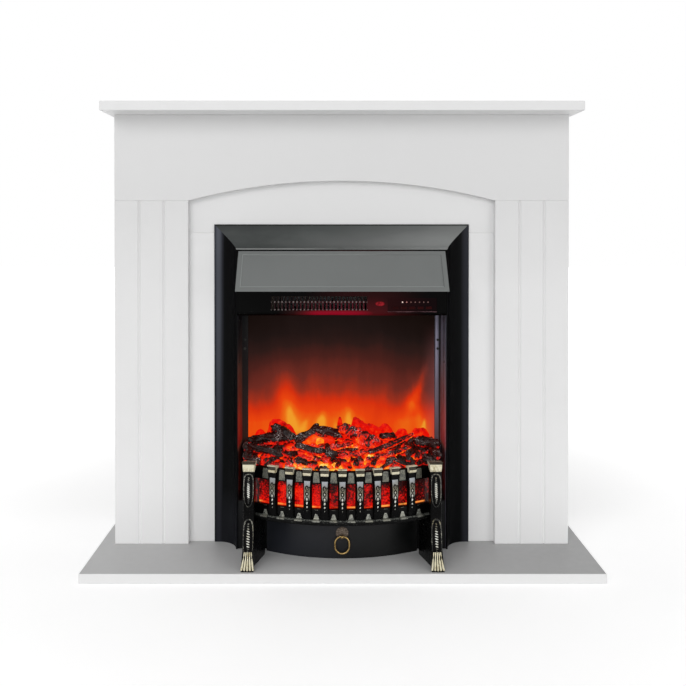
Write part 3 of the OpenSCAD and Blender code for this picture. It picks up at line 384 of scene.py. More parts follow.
def ember_panel():
    """The ribbed red lens behind the fret, with a bright broken line along its foot and a painted shadow of
    the upper rail along its top.
    """
    m = Mat("ember_panel")
    fine = m.noise(300, 4, 0.7)
    lit = m.ramp(m.range(m.x, -0.16, 0.16), PANES)
    foot = m.z + m.drift(0.003, 20)
    heat = fine * 0.9 + m.noise(48, 4, 0.65) * 0.8 - 0.48 + lit * 0.35
    # Less heat towards the ends, and a painted shadow of the upper rail at the top.
    heat = heat - m.range(abs(m.x), 0.147, 0.158, 0.0, 0.14) - m.range(m.z, 0.152, 0.172, 0.0, 0.16)
    heat = heat + m.range(foot, 0.146, 0.128) * 0.05
    glow = m.ramp(heat, "0.4 1c0303, 0.5 6c0604, 0.57 b80806, 0.66 e41005, 0.84 f8320c, 1 ff7a2c")
    line = m.range(foot, 0.1238, 0.1246) * m.range(foot, 0.1278, 0.1268)
    line = line * m.range(m.noise(24, 2) + lit * 0.2, 0.50, 0.60, 0.15, 1.0)
    glow = m.mix(line, glow, m.ramp(m.noise(60), "0.35 ee4a14, 0.6 ffa64a"))
    glow = m.mix(m.range(foot, 0.1236, 0.1226, 0.0, 0.7), glow, "300303")
    glow = m.mix(m.range(foot, 0.1200, 0.1212), "100202", glow)
    m.set(color="1c0403", rough=m.range(fine, 0.3, 0.7, 0.2, 0.5), glow=glow, power=1.0, spec=0.12)
    return m.bump(fine + m.cells(150), 0.6, 0.0015)


def trim_paint():
    """Satin black powder coat with a painted sheen that makes it greyer towards the outer edges and the floor,
    above all on the left.
    """
    m = Mat("trim_satin")
    # The grey at the outer edges and low down is painted sheen, the reflection of the lit room.
    left = m.range(m.x, -0.227, -0.246) * m.range(m.x, -0.2545, -0.247, 0.62, 1.0)
    left = left * m.range(m.z, 0.05, 0.6, 0.62, 1.0)
    right = m.range(m.x, 0.227, 0.249, 0.0, 0.6)
    low = m.range(m.z, 0.27, 0.06, 0.0, 0.42) * m.range(m.x, 0.1, -0.1, 0.6, 1.0)
    tone = m.most(m.most(left, right), low) + m.drift(0.12, 5)
    m.set(color=m.ramp(tone, "0 070708, 0.3 0d0e0f, 0.65 303137, 1 54575f"), rough=m.gloss(0.32, 0.42, 40),
          spec=0.03)
    return m.grain(600, 0.05)


def pan_satin():
    """Satin black paint of the ash pan, with painted light that makes its left half bluer and paler."""
    m = Mat("pan_satin")
    across = m.range(m.x + m.drift(0.05, 6, 4), -0.14, 0.14)
    m.set(color=m.ramp(across, "0 202228, 0.42 1a1b1f, 0.58 101113, 1 0c0d0d"), rough=m.gloss(0.36, 0.44, 54),
          spec=0.25)
    return m.grain(600, 0.08, 0.0004, 2)


def cove_paint():
    """The top cove, painted as if lit from the right and below, with a painted highlight on its lip that fades
    and a painted shadow in the dark line under it.
    """
    m = Mat("trim_cove")
    tone = m.range(m.x, -0.26, 0.26, 0.05, 0.75) + m.range(m.z, 0.652, 0.61, 0.0, 0.3)
    tone = tone + m.drift(0.7, 9, 3, 0.5, m.stretch(1, 1, 2.5)) * m.range(m.x, 0.0, -0.12, 0.3, 1.0)
    shade = m.ramp(tone, "0 343636, 0.35 4c4f4e, 0.7 666867, 0.9166667 7d7f7e, 1 868887")
    # A darker band at the top as painted shade, then a painted highlight on the lip and a painted shadow line
    # under it.
    shade = m.mix(m.range(m.z, 0.6495, 0.6515), shade, "242525")
    lip = m.range(m.z, 0.6040, 0.6046) * m.range(m.z, 0.6062, 0.6056) * m.range(m.x, 0.0, -0.1, 0.1, 0.9)
    shade = m.mix(lip, m.mix(m.range(m.z, 0.604, 0.603), shade, "060606"), "a4a6a5")
    m.set(color=shade, rough=m.gloss(0.32, 0.42, 40), spec=0.05)
    return m.grain(600, 0.05)


def lit_steel(name, dark, pale, power):
    """Dark sheet steel with a painted red glow of the fire near its foot. Its right-hand piece has painted
    highlights in bands.
    """
    m = Mat(name)
    z = m.z + m.drift(0.09, 14)
    stripe = m.range(m.noise(1, 2, 0.5, m.stretch(420, 120, 1.5)), 0.42, 0.62)
    # Painted highlights in bands on the right-hand piece, stronger higher up, and a painted red glow of the
    # fire low down.
    shine = m.above(m.x, 0.0) * (stripe * m.range(z, 0.2, 0.46, 0.3, 1.0))
    red = m.range(z, 0.46, 0.22) * m.range(m.z, 0.203, 0.222) * m.range(abs(m.x), 0.2015, 0.2023, 0.3, 1.0)
    glow = m.ramp(red, "0 000000, 0.15 1a0e0b, 0.36 391f17, 0.7 4c1a0e, 0.87 661a0d, 1 640f0b")
    m.set(color=m.mix(shine, m.shades(dark, pale, 9), "a8a6bc"), rough=m.gloss(0.32, 0.45, 40), glow=glow,
          power=power, spec=0.12)
    return m.grain(700, 0.06)


def fascia_gloss():
    """Gloss black enamel with a painted crimson glow of the fire on its lower lip, fading upward over the
    middle.
    """
    m = Mat("fascia_gloss")
    # Both masks here are painted glow of the fire: crimson on the lower lip and a fainter glow above it over
    # the middle.
    red = m.range(m.z, 0.492, 0.481) * m.range(abs(m.x + 0.008), 0.125, 0.02)
    red = red * m.range(m.noise(18, 2), 0.2, 0.6, 0.8, 1.0)
    red = red * m.range(abs(m.z - 0.4755), 0.0, 0.002, 0.3, 1.0)
    painted_glow_above = m.range(abs(m.x - 0.045), 0.13, 0.02) * m.range(m.z, 0.475, 0.53, 0.46, 0.26)
    glow = m.ramp(m.most(red, painted_glow_above), "0 000000, 0.3 240708, 0.5 480a10, 0.8 7c041a, 1 960220")
    m.set(color=m.shades("020202", "050505", 10), rough=m.gloss(0.14, 0.2, 50), glow=glow, power=1.0,
          spec=0.03)
    return m.grain(500, 0.03, 0.0002)


def grille_paint():
    """Dark moulded slats with pale painted highlights at their middles and feet, and a painted red glow of the
    fire low down near the middle.
    """
    m = Mat("grille_plastic")
    lo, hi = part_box("heater_grille")
    left, pitch = 0.138, 0.188 / 26
    slat = abs(m.math("FRACT", (m.x + left) / pitch) - 0.5)
    spots = m.range(m.z, 0.4998, 0.5008) * m.range(m.z, 0.5040, 0.5022)
    spots = m.most(spots, m.range(m.z, 0.4884, 0.4872))
    # Pale painted highlights at the slats' middles and feet.
    painted_highlights = spots * m.above(slat, 0.31) * m.range(m.noise(120), 0.3, 0.6, 0.35, 1.0)
    near = m.range(abs(m.x - 0.01), 0.16, 0.0)
    # The slats below the rib are painted redder near the middle, and the glow is stronger low down, as painted
    # glow of the fire.
    base = m.mix(m.range(m.z, 0.500, 0.506), m.mix(near, "251a1b", "4a1c22"),
                 m.shades("161212", "262120", 90))
    m.set(color=m.mix(painted_highlights, base, "8e8684"), rough=m.gloss(0.4, 0.5, 200), spec=0.03, power=1.0,
          glow=m.ramp(m.range(m.z, hi[2], lo[2]) * near, "0 050202, 1 30040c"))
    return m.grain(800, 0.1)


def hood_reflection_grey():
    """Satin hood, painted grey as the reflection of the bright room on its black paint, with its pressed line
    painted as a highlight, and as shade on the right-hand side.
    """
    m = Mat("hood_reflection_grey")
    lo, hi = corners("hood")
    edge, low, high = (hi[0] - 9) * MM, (lo[2] + 8.5) * MM, (hi[2] - 7) * MM
    across, half = abs(m.x), 0.9 * MM

    def line(value, at):
        return m.range(abs(value - at), half, half * 0.6)
    sides = line(across, edge) * m.range(m.z, low - MM, low) * m.range(m.z, high + MM, high)
    high_line = line(m.z, high) * m.range(m.x, 0.1, 0.02, 0.1, 1.0)
    # The pressed line is a painted highlight, and painted shade on the right-hand side.
    pressed_line_light_and_shade = m.most(sides, m.most(line(m.z, low), high_line) * m.range(across, edge + MM, edge))
    tint = m.mix(sides * m.above(m.x, 0.0), "8d918f", "4e5150")
    m.set(color=m.mix(pressed_line_light_and_shade * 0.8, m.shades("686b6a", "717473", 4), tint), rough=m.gloss(0.34, 0.42, 60),
          spec=0.4, metal=0.1)
    return m.grain(600, 0.05)


def iron():
    """Cast iron in satin black paint."""
    m = Mat("black_iron")
    m.set(color=m.shades("030303", "080808", 30, 4), rough=m.gloss(0.22, 0.36, 90), spec=0.06)
    return m.bump(m.noise(320, 4, 0.7), 0.25, 0.0006)


def patina(name, light, dark, cover, warm):
    """Silver rubbed over black iron, dark where the casting is low. light is a shade, or stops by height."""
    m = Mat(name)
    banded = "," in light
    if banded:
        light = stops(light)
        lo, hi = light[0][0], light[-1][0]
        light = m.ramp(m.range(m.z, lo, hi), [((z - lo) / (hi - lo), c) for z, c in light])
    speck = m.noise(620, 4, 0.75)
    rub = speck * 0.6 + m.noise(90, 4, 0.6) * 0.4
    tone = m.mix(m.range(m.noise(45), 0.45, 0.75, 0.0, 0.6 if banded else 1.0), light, warm)
    rubbed = m.range(rub, 0.62 - cover * 0.3, 0.70 - cover * 0.3)
    m.set(color=m.mix(rubbed, dark, tone), metal=rubbed * 0.55, rough=m.range(speck, 0.3, 0.7, 0.25, 0.5),
          spec=0.5)
    return m.bump(speck, 0.35, 0.0005)


def lip_iron():
    """Black iron with a broken silver line along its upper edge and silver flecks in its hollows."""
    m = Mat("lip_iron")
    foot = corners("fret_front")[0][2] * MM
    speck = m.noise(420, 3, 0.6)
    line = m.range(m.z, foot + 0.0066, foot + 0.0078) * m.range(speck, 0.46, 0.56, 0.05, 0.6)
    fleck = m.range(m.noise(300, 4, 0.7), 0.58, 0.64) * m.range(m.z, foot + 0.001, foot + 0.003, 0.0, 0.22)
    m.set(color=m.mix(m.most(line, fleck), m.ramp(speck, "0.3 040404, 0.7 0d0d0d"), "83857f"),
          rough=m.range(speck, 0.3, 0.7, 0.35, 0.6), spec=0.06)
    return m.bump(speck, 0.5, 0.001)


def brass(name, light, dark, metal, rough, scale):
    """Brass or another finish with wear, stained dark in patches."""
    m = Mat(name)
    stain = m.noise(scale, 5, 0.7)
    m.set(color=m.ramp(stain, [(0.33, dark), (0.5, light), (0.75, light)]), metal=metal,
          rough=m.range(stain, 0.3, 0.7, rough[1], rough[0]), spec=0.5)
    return m.grain(500, 0.15, 0.0004, 4)


def receiver_paint():
    """The oval remote window: dark red, with a painted glow that is brighter inside a thin dark rim."""
    m = Mat("receiver_window")
    lo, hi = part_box("receiver_window")
    u, v = ((value - (lo[k] + hi[k]) / 2) / ((hi[k] - lo[k]) / 2) for value, k in ((m.x, 0), (m.z, 2)))
    core = m.range(m.math("SQRT", u * u + v * v), 0.95, 0.6) * m.range(m.noise(260), 0.38, 0.6, 0.3, 1.0)
    return m.set(color="1a0204", rough=m.gloss(0.08, 0.16, 80), spec=0.03, power=1.0,
                 glow=m.ramp(core, "0 4a080c, 0.5 6c0f16, 1 901c24"))


def circuit():
    """A green circuit board with its tracks."""
    m = Mat("circuit_green")
    track = m.cells(300, feature="DISTANCE_TO_EDGE")
    m.set(color=m.mix(m.range(track, 0.02, 0.06), "4f8a4a", m.shades("12431c", "1b5a28", 60)),
          rough=m.gloss(0.3, 0.5, 200))
    return m.bump(track, 0.15, 0.0002)


def lamps():
    """The row of indicators: the first one lit, the second faint, the rest dark amber."""
    m = Mat("indicator_lamps")
    lo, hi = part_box("indicator_lights")
    row = (m.x - lo[0]) / (hi[0] - lo[0])
    shine = m.noise(900, 2)
    return m.set(color=m.ramp(shine, "0.3 2a120c, 0.7 4a241a"), rough=m.range(shine, 0.3, 0.7, 0.15, 0.3),
                 glow=m.ramp(row, "0 ffe8de, 0.06 ffd0c0, 0.1 b06a62, 0.22 a4625a, 0.26 5c3a34, 1 543832"),
                 power=1.0)


def plate_paint():
    """Gloss button plate with a painted red glow of the fire, and a painted highlight in a fine bright line
    along its foot and right edge.
    """
    m = Mat("button_plate")
    lo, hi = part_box("button_plate")
    side = m.above(m.x, hi[0] - 0.0016) * m.math("LESS_THAN", m.z, hi[2] - 0.003)
    line = m.most(m.math("LESS_THAN", m.z, lo[2] + 0.0009), side) * m.range(m.noise(40), 0.3, 0.6, 0.35, 1.0)
    m.set(color=m.mix(line, m.shades("040203", "0a0405", 30), "8a6a70"), rough=m.gloss(0.14, 0.22, 60),
          spec=0.02, glow=m.ramp(m.range(m.x, 0.18, 0.085), "0 0c0304, 1 200708"), power=1.0)
    return m.grain(600, 0.03, 0.0002)


IRON = iron()
SILVER = patina("silver_patina", "0.11 96978e, 0.17 75766c", "3a3b35", 0.6, "7d7864")
# WHITE, HEADER, STILES and INFILL are one white paint in lit and shaded copies: the header and the top infill
# are painted darker and the low boards paler, as painted shade and painted light.
WHITE = white_paint_shaded_by_height("white_paint", "0 fafafa, 0.12 f9f9f9, 0.31 eeeeee, 0.5 e8e8e8, "
                     "0.62 e1e1e1, 0.7 dddddd, 0.8 e4e4e4, 0.9 e6e6e6")
HEADER = white_paint_shaded_by_height("white_header", "0.6 dbdbdb, 0.85 dfdfdf")
STILES = white_paint_shaded_by_height("white_stiles",
                      "0 fafafa, 0.26 f9f9f9, 0.36 f4f4f4, 0.5 f1f1f1, 0.58 eaeaea, 0.65 e3e3e3")
INFILL = white_paint_shaded_by_height("white_infill", "0.6 e2e2e2, 0.72 e4e4e4")
BOARD, CIRCUIT = bare_board(), circuit()
TRIM = trim_paint()
CREAM = brass("pale_brass", "e3dcc0", "a89a70", 0.15, (0.3, 0.5), 90)
# OLIVE (cap_shadow) is the pale brass in painted shade.
OLIVE = brass("cap_shadow", "373020", "12100a", 0.1, (0.4, 0.5), 120)
OLD_BRASS = brass("old_brass", "b0935f", "5c4828", 0.9, (0.18, 0.3), 200)
BRONZE = brass("dull_bronze", "6e6053", "2b231d", 0.35, (0.3, 0.45), 260)
BRIGHT = patina("bead_silver", "dcdcd4", "4a4a45", 0.85, "b9b39c")
BLACK_PLASTIC = painted("black_plastic", ("0c0c0d", "121213"), (0.3, 0.42), 900, 0.08, 0.2)
CASING = painted("casing_black", ("0e0f10", "151617"), (0.4, 0.55), 500, 0.12, 0.15)
FINISH = {
    "header_board": HEADER, "top_infill_panel": INFILL, "left_infill_stile right_infill_stile": STILES,
    "left_leg_board right_leg_board left_side_panel right_side_panel mantel_shelf": WHITE,
    "hearth_board": hearth_laminate(), "rear_rail corner_blocks": BOARD, "hood": hood_reflection_grey(),
    "casing_wrap casing_back casing_floor plinth_panel chamber_ceiling": CASING,
    "cable_gland switch_housing": BLACK_PLASTIC, "control_circuit_board power_board lamp_board": CIRCUIT,
    "cheek_panels": lit_steel("chamber_steel", "0a0a0c", "121216", 0.9),
    "screen_channels": lit_steel("channel_steel", "09090b", "101012", 0.7), "flame_screen": flames(),
    "ember_front": ember_panel(), "control_fascia": fascia_gloss(), "heater_grille": grille_paint(),
    "receiver_window": receiver_paint(), "button_plate": plate_paint(), "indicator_lights": lamps(),
    "ash_pan_cover": pan_satin(), "pull_ring": OLD_BRASS, "wall_brackets": zinc("zinc_plate"),
    "screws": zinc("screw_black_zinc", "242423", "3a3937", (0.3, 0.45)), "spindle_motor": zinc("motor_can"),
    # The blower housing's zinc is painted darker and its wheel black, as painted shade inside the casing.
    "blower_housing": zinc("blower_zinc", "55585a", "6c6f71"),
    "blower_wheel": painted("wheel_black", ("0c0c0d", "151516"), (0.4, 0.5), 300, 0.1, 0.1),
    "blower_motor": painted("motor_black", ("1b1c1f", "26272a"), (0.35, 0.5), 300, 0.15, 0.4, metal=0.5),
    "heating_element": brass("element_mica", "3c3122", "1c160e", 0.1, (0.5, 0.7), 60),
    "thermal_cutout": painted("cutout_ceramic", ("cdc8bb", "ded9cd"), (0.4, 0.5), 500, 0.1),
    "flicker_spindle": zinc("foil", "b9bcbe", "dfe1e2", (0.15, 0.3)),
    "spindle_bearing": painted("bearing_nylon", ("d8d6cc", "e4e2d9"), (0.35, 0.45)),
    "switch_rocker": painted("rocker_black", ("0d0d0e", "141415"), (0.15, 0.25), 700, 0.05, 0.45),
}
for key in ("power", "flame", "dimmer", "heat", "timer"):
    FINISH[key + "_button"] = painted(key + "_key", ("2a0c0c", "380f10"), (0.3, 0.4), 900, 0.08, 0.02)
for names, mat in FINISH.items():
    for name in names.split():
        target = NODES[name]
        if not target.material_slots:
            target.data.materials.append(mat.m)
        for slot in target.material_slots:
            slot.material = mat.m


# ---- mesh builders ----

class Build:
    """Gathers rows of points into one mesh, with a material for each face and a value for each point."""

    def __init__(self):
        self.v, self.f, self.m, self.heat, self.ash = [], [], [], [], []
        self.at = Matrix()

    def rows(self, rows, mat=0, round_u=False, round_v=False, heat=None, ash=None):
        """Quads over a grid of points, placed by self.at. round_u joins each row's ends, round_v the last row
        to the first."""
        base, n = len(self.v), len(rows[0])
        for row in rows:
            self.v += [self.at @ Vector(p) for p in row]
        count = len(rows) * n
        self.heat += list(heat) if heat else [0.0] * count
        self.ash += list(ash) if ash else [0.0] * count
        for i in range(len(rows) - (0 if round_v else 1)):
            a, b = base + i * n, base + (i + 1) % len(rows) * n
            for j in range(n - (0 if round_u else 1)):
                k = (j + 1) % n
                self.lid((a + j, a + k, b + k, b + j), mat(i, j) if callable(mat) else mat)
        return base

    def lid(self, ring, mat=0):
        """One face on a ring of points."""
        self.f.append(tuple(ring))
        self.m.append(mat)

    def closed_loft(self, rows, mat=0, **values):
        """A loft of closed rings with both ends filled."""
        base, n = self.rows(rows, mat, round_u=True, **values), len(rows[0])
        last = base + (len(rows) - 1) * n
        end = 0 if callable(mat) else mat
        self.lid([base + j for j in reversed(range(n))], end)
        self.lid([last + j for j in range(n)], end)

    def tube(self, path, radius, mat, sides, closed=False, flat=1.0, up=Vector((0, 0, 1))):
        """A round or flattened tube along points. radius is a number or a list with one for each point."""
        path = [Vector(p) for p in path]
        count = len(path)
        rows = []
        for i, p in enumerate(path):
            ahead = path[(i + 1) % count] if closed or i + 1 < count else p
            back = path[i - 1] if closed or i else p
            t = (ahead - back).normalized()
            side = t.cross(up)
            side = side.normalized() if side.length > 1e-4 else SIDEWAYS
            normal = side.cross(t).normalized()
            r = radius[i] if isinstance(radius, list) else radius
            rows.append([p + side * (r * cos(a)) + normal * (r * flat * sin(a))
                         for a in circle(sides)])
        if closed:
            self.rows(rows, mat, round_u=True, round_v=True)
        else:
            self.closed_loft(rows, mat)

    def blob(self, centre, size, mat=0, sides=10, turn=Matrix.Identity(3), lump=0.0, seed=0.0):
        """A rounded bead of half sizes (x, y, z), lumpy if asked."""
        rows = []
        for i in range(1, sides // 2 + 1):
            a = pi * i / (sides // 2 + 1)
            ring = []
            for b in circle(sides):
                d = Vector((sin(a) * cos(b), sin(a) * sin(b), cos(a)))
                k = 1 + lump * noise.noise(d * 1.7 + Vector((seed, seed * 2.3, -seed)))
                ring.append(Vector(centre) + turn @ (Vector([d[c] * size[c] for c in range(3)]) * k))
            rows.append(ring)
        self.closed_loft(rows, mat)

    def piece(self, name, mats, slot, sharp, body="fireplace", replaces=()):
        """Makes the mesh a piece of the body. Edges sharper than the angle stay hard."""
        mesh = bpy.data.meshes.new(name)
        mesh.from_pydata([p * MM for p in self.v], [], self.f)
        for m in mats:
            mesh.materials.append(m.m)
        mesh.polygons.foreach_set("material_index", self.m)
        mesh.polygons.foreach_set("use_smooth", [True] * len(self.f))
        if any(self.heat) or any(self.ash):
            for key, values in (("coal_heat", self.heat), ("coal_glint_and_ash", self.ash)):
                mesh.attributes.new(key, "FLOAT", "POINT").data.foreach_set("value", values)
        bm = bmesh.new()
        bm.from_mesh(mesh)
        bmesh.ops.recalc_face_normals(bm, faces=bm.faces)
        bm.to_mesh(mesh)
        bm.free()
        mesh.set_sharp_from_angle(angle=radians(sharp))
        obj = bpy.data.objects.new(name, mesh)
        bpy.context.scene.collection.objects.link(obj)
        if replaces:
            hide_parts(*replaces)
        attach(obj, body)


def mirrored(half):
    """A row of points from its left half, whose last point is on the axis."""
    return half + [(-x, y, z) for x, y, z in half[-2::-1]]


# ---- trim: one smooth cove on three sides ----

t_lo, t_hi = corners("trim_top")
X_FIRE, Z_FIRE, Y_BACK, Y_LIP = t_hi[0], t_hi[2], t_hi[1], t_lo[1]
Z_HEARTH = corners("trim_left")[0][2]


def hollow(degrees, across, up):
    """A point of the cove's curve, which is centred 8 in from the edge and 45 out."""
    a = radians(degrees)
    return 8 + across * sin(a), 45 - up * cos(a)


# The cove's section: how far in from the fire's edge, how far out from the wall
COVE = [(0, 0), (0, 2.4), (0.6, 3), (8, 3)] + [hollow(a, 39, 42) for a in range(3, 88, 3)]
COVE += [(47, 43.5), (47.4, 44.6), (48.2, 45), (49.4, 45), (50, 44.4), (50, 0), (48.5, 0), (48.5, 38)]
COVE += [hollow(a, 40.5, 43.5) for a in range(78, -1, -6)] + [(1.5, 1.5), (1.5, 0)]

trim = Build()
trim.closed_loft([[(s * (X_FIRE - u), Y_BACK - v, Z_FIRE - u) for u, v in COVE] for s in (-1, 1)])
# A flange behind the fascia closes the slit over it
flange = [(-0.6, 60), (-0.6, 49.9), (0.9, 49.9), (0.9, 60)]
trim.closed_loft([[(s * (X_FIRE - 51), Y_LIP + y, Z_FIRE - z) for y, z in flange] for s in (-1, 1)])
trim.piece("trim_top_cove", [cove_paint()], "black_trim", 25, replaces=["trim_top"])
for side, s in (("left", -1), ("right", 1)):
    trim = Build()
    trim.closed_loft([[(s * (X_FIRE - u), Y_BACK - v, Z_FIRE - u if top else Z_HEARTH) for u, v in COVE]
                      for top in (False, True)])
    trim.piece("trim_%s_cove" % side, [TRIM], "black_trim", 25, replaces=["trim_" + side])

# ---- fuel bed: its front edge is an arc about (0, Y_ARC), as the fret's is ----

Y_ARC = 190.0
bed_lo, bed_hi = corners("fuel_bed")
R_BED = Y_ARC - bed_lo[1]
X_NOSE = 157.0
random.seed(7)


def bed_edge(u):
    """The bed's front edge at u from -1 to 1."""
    x = u * X_NOSE
    return Y_ARC - sqrt(R_BED ** 2 - x * x)


def bed_base(y):
    """The bed's height before its coals, at depth y."""
    return curve([(bed_lo[1], 187), (bed_lo[1] + 60, 197), (bed_hi[1] - 30, 207), (bed_hi[1], 213)], y)


# Logs: centre x, y, height of the axis over LOG_SHELF, length, radius, turn, tilt, glow
LOG_SHELF = 112
COAL_COUNT = 80
LOGS = [
    (-140, -4, 112, 74, 14, 12, -3, 0.10), (-117, 5, 125, 50, 13, -16, 16, 0.12),
    (-70, -2, 124, 52, 9, 15, -27, 0.06), (-29, -3, 126, 54, 13, -8, 17, 0.12),
    (33, -16, 121, 82, 16.5, -24, 17, 0.47), (92, 5, 117, 30, 10, 12, -6, 0.3),
    (98, -34, 112, 112, 7, 34, -10, 0.34), (168, -22, 110, 48, 12, -24, 8, 0.12),
    (-150, -50, 101, 76, 10, -24, 3, 0.14), (-62, -50, 106, 62, 9, -20, 8, 0.2),
    (92, -62, 99, 96, 6, 30, -6, 0.42)]
TWIGS = [
    (-96, -64, 99, 26, 8, 60, 4, 0.1), (-128, -78, 92, 34, 8, -70, -12, 0.15),
    (-20, -70, 99, 24, 8, 20, 8, 0.05), (-74, -92, 89, 24, 7, 10, 5, 0.12),
    (-8, -100, 90, 30, 6, 80, -10, 0.3), (28, -92, 92, 30, 6, 75, -18, 0.35),
    (64, -88, 92, 34, 6, 68, -14, 0.3), (84, -98, 87, 34, 5, 40, -20, 0.3),
    (112, -88, 90, 40, 6, -30, 16, 0.25), (128, -66, 97, 26, 7, 85, -20, 0.2),
    (146, -62, 97, 30, 6, 80, -14, 0.3), (0, -28, 106, 44, 7, 24, -6, 0.45),
    (-40, -84, 92, 34, 6, -40, 8, 0.4), (40, -62, 100, 46, 7, 20, -4, 0.5),
    (-176, -20, 112, 30, 9, 70, 6, 0.05), (178, -36, 108, 30, 8, 80, 4, 0.05),
    (-181, -62, 100, 34, 10, 84, 2, 0.02), (181, -66, 100, 34, 10, 96, 2, 0.02),
    (-170, -84, 92, 30, 9, 20, 4, 0.05), (166, -84, 92, 28, 9, -30, 4, 0.1),
    (-186, -30, 108, 40, 8, 88, 0, 0.0)]
# Where the bed burns brighter, and where it is burnt out: x, y, reach, added heat
PATCHES = [
    (-60, -64, 40, 0.20), (0, -70, 60, 0.12), (90, -70, 50, 0.12), (-86, -90, 34, 0.16), (-48, 2, 20, 0.5),
    (60, -30, 34, 0.12), (10, -34, 50, 0.12), (-100, -36, 30, 0.1), (-42, -80, 16, 0.25), (-4, -96, 18, 0.2),
    (-176, 10, 40, -0.5), (180, 0, 44, -0.6), (-170, -60, 36, -0.35), (176, -50, 30, -0.4),
    (0, 36, 10, -0.1)]


def bed_point(x, y):
    """Height, heat and ash of the coal bed at x, y."""
    q = Vector((x, y, 0)) + Vector((ripple(x / 15, y / 15, 3.1), ripple(x / 15, y / 15, 9.7), 0)) * 7
    big, at = noise.voronoi(Vector((q.x / 22, q.y / 19, 0.5)))
    small, _ = noise.voronoi(Vector((q.x / 9, q.y / 8, 4.5)))
    lumps, chips = step(big[1] - big[0], 0.0, 0.42), step(small[1] - small[0], 0.0, 0.4)
    cell = noise.noise(at[0] * 5.3)
    h = lumps * (7 + 6 * cell) + chips * 2.2 + 3.0 * ripple(x / 24, y / 24, 1.7)
    h += 1.4 * noise.fractal(Vector((x / 5, y / 5, 0)), 1.0, 2.0, 3)
    heat = 0.5 * (1 - lumps) + 0.12 * (1 - chips) + 0.26 + 0.6 * noise.noise(at[0] * 3.1 + Vector((5, 0, 0)))
    for px, py, reach, gain in PATCHES:
        heat += gain * exp(-((x - px) ** 2 + (y - py) ** 2) / reach ** 2)
    return h, heat, 0.4 + 0.6 * step(cell, -0.1, 0.3)


def fuel_bed():
    """The coal bed over a grid that widens behind the fret's ends, with a glowing skirt down its sides."""
    b = Build()
    nu, nv = 240, 130
    rows, heat, ash = [], [], []
    for j in range(nv + 1):
        v = j / nv
        row = []
        for i in range(nu + 1):
            u = 2 * i / nu - 1
            x = u * lerp(X_NOSE, bed_hi[0] - 1, step(v, 0.0, 0.42))
            y = lerp(bed_edge(u) + 0.6, bed_hi[1] - 0.5, v)
            h, warmth, grey = bed_point(x, y)
            rim = step(v, 0.0, 0.05) * step(1 - abs(u), 0.0, 0.03) * step(1 - v, 0.0, 0.04)
            corner = 14 * step(abs(x), 158, 186) * step(y, -20, 30)
            row.append((x, y, min(bed_hi[2] - 0.5, bed_base(y) + h * rim + corner * rim * 0.6)))
            heat.append(warmth)
            ash.append(grey)
        rows.append(row)
    b.rows(rows, heat=heat, ash=ash)
    n = nu + 1
    ring = list(range(n)) + [j * n + nu for j in range(1, nv + 1)]
    ring += [nv * n + i for i in range(nu - 1, -1, -1)] + [j * n for j in range(nv - 1, 0, -1)]
    above = [tuple(b.v[k]) for k in ring]
    low = bed_lo[2]
    for drop, warmth in ((lambda z: z - 2.0, 0.60), (lambda z: low + 1.0, 0.62), (lambda z: low + 0.5, 0.0)):
        band = b.rows([[(x, y, drop(z)) for x, y, z in above]],
                      heat=[warmth * (1 - 0.28 * step(abs(x), 140, 156)) for x, _, _ in above])
        for i in range(len(ring)):
            k = (i + 1) % len(ring)
            b.lid((ring[i], ring[k], band + k, band + i))
        ring = [band + i for i in range(len(ring))]
    b.lid(ring)
    return b


def coals():
    """Loose coals and chips over the bed, some glowing and some burnt out, and the hot pair by the logs."""
    b = Build()
    for _ in range(COAL_COUNT):
        u, v = random.uniform(-1, 1), random.uniform(0.02, 0.8)
        x = u * lerp(X_NOSE - 8, 176, step(v, 0.0, 0.42))
        y = lerp(bed_edge(u * 0.95) + 8, bed_hi[1] - 12, v)
        h, warmth, _ = bed_point(x, y)
        size = random.uniform(4, 10)
        turn = Matrix.Rotation(random.uniform(0, 6), 3, "Z")
        turn = turn @ Matrix.Rotation(random.uniform(-0.6, 0.6), 3, "Y")
        start, shape = len(b.v), (size * random.uniform(1.0, 1.7), size * 0.8, size * 0.6)
        b.blob((x, y, bed_base(y) + h * 0.7 + size * 0.25), shape, sides=14, turn=turn, lump=0.7,
               seed=random.uniform(0, 50))
        share, extra = (0.6, 0.16) if random.random() < 0.5 else (0.1, 0)
        for k in range(start, len(b.v)):
            low = step(b.v[k].z, bed_base(y) + h + size, bed_base(y) + h - 1)
            b.heat[k] = share * warmth + 0.4 * low + 0.3 * noise.noise(b.v[k] / 4) + extra
            b.ash[k] = 1.0
    for centre, size, heat in (((-42, 14, 216), (31, 8, 17), 0.80), ((-43, 5, 217.5), (8.5, 6, 7.5), 1.08)):
        start = len(b.v)
        b.blob(centre, size, sides=24, lump=0.15, seed=3.0)
        b.heat[start:] = [heat] * (len(b.v) - start)
    return b


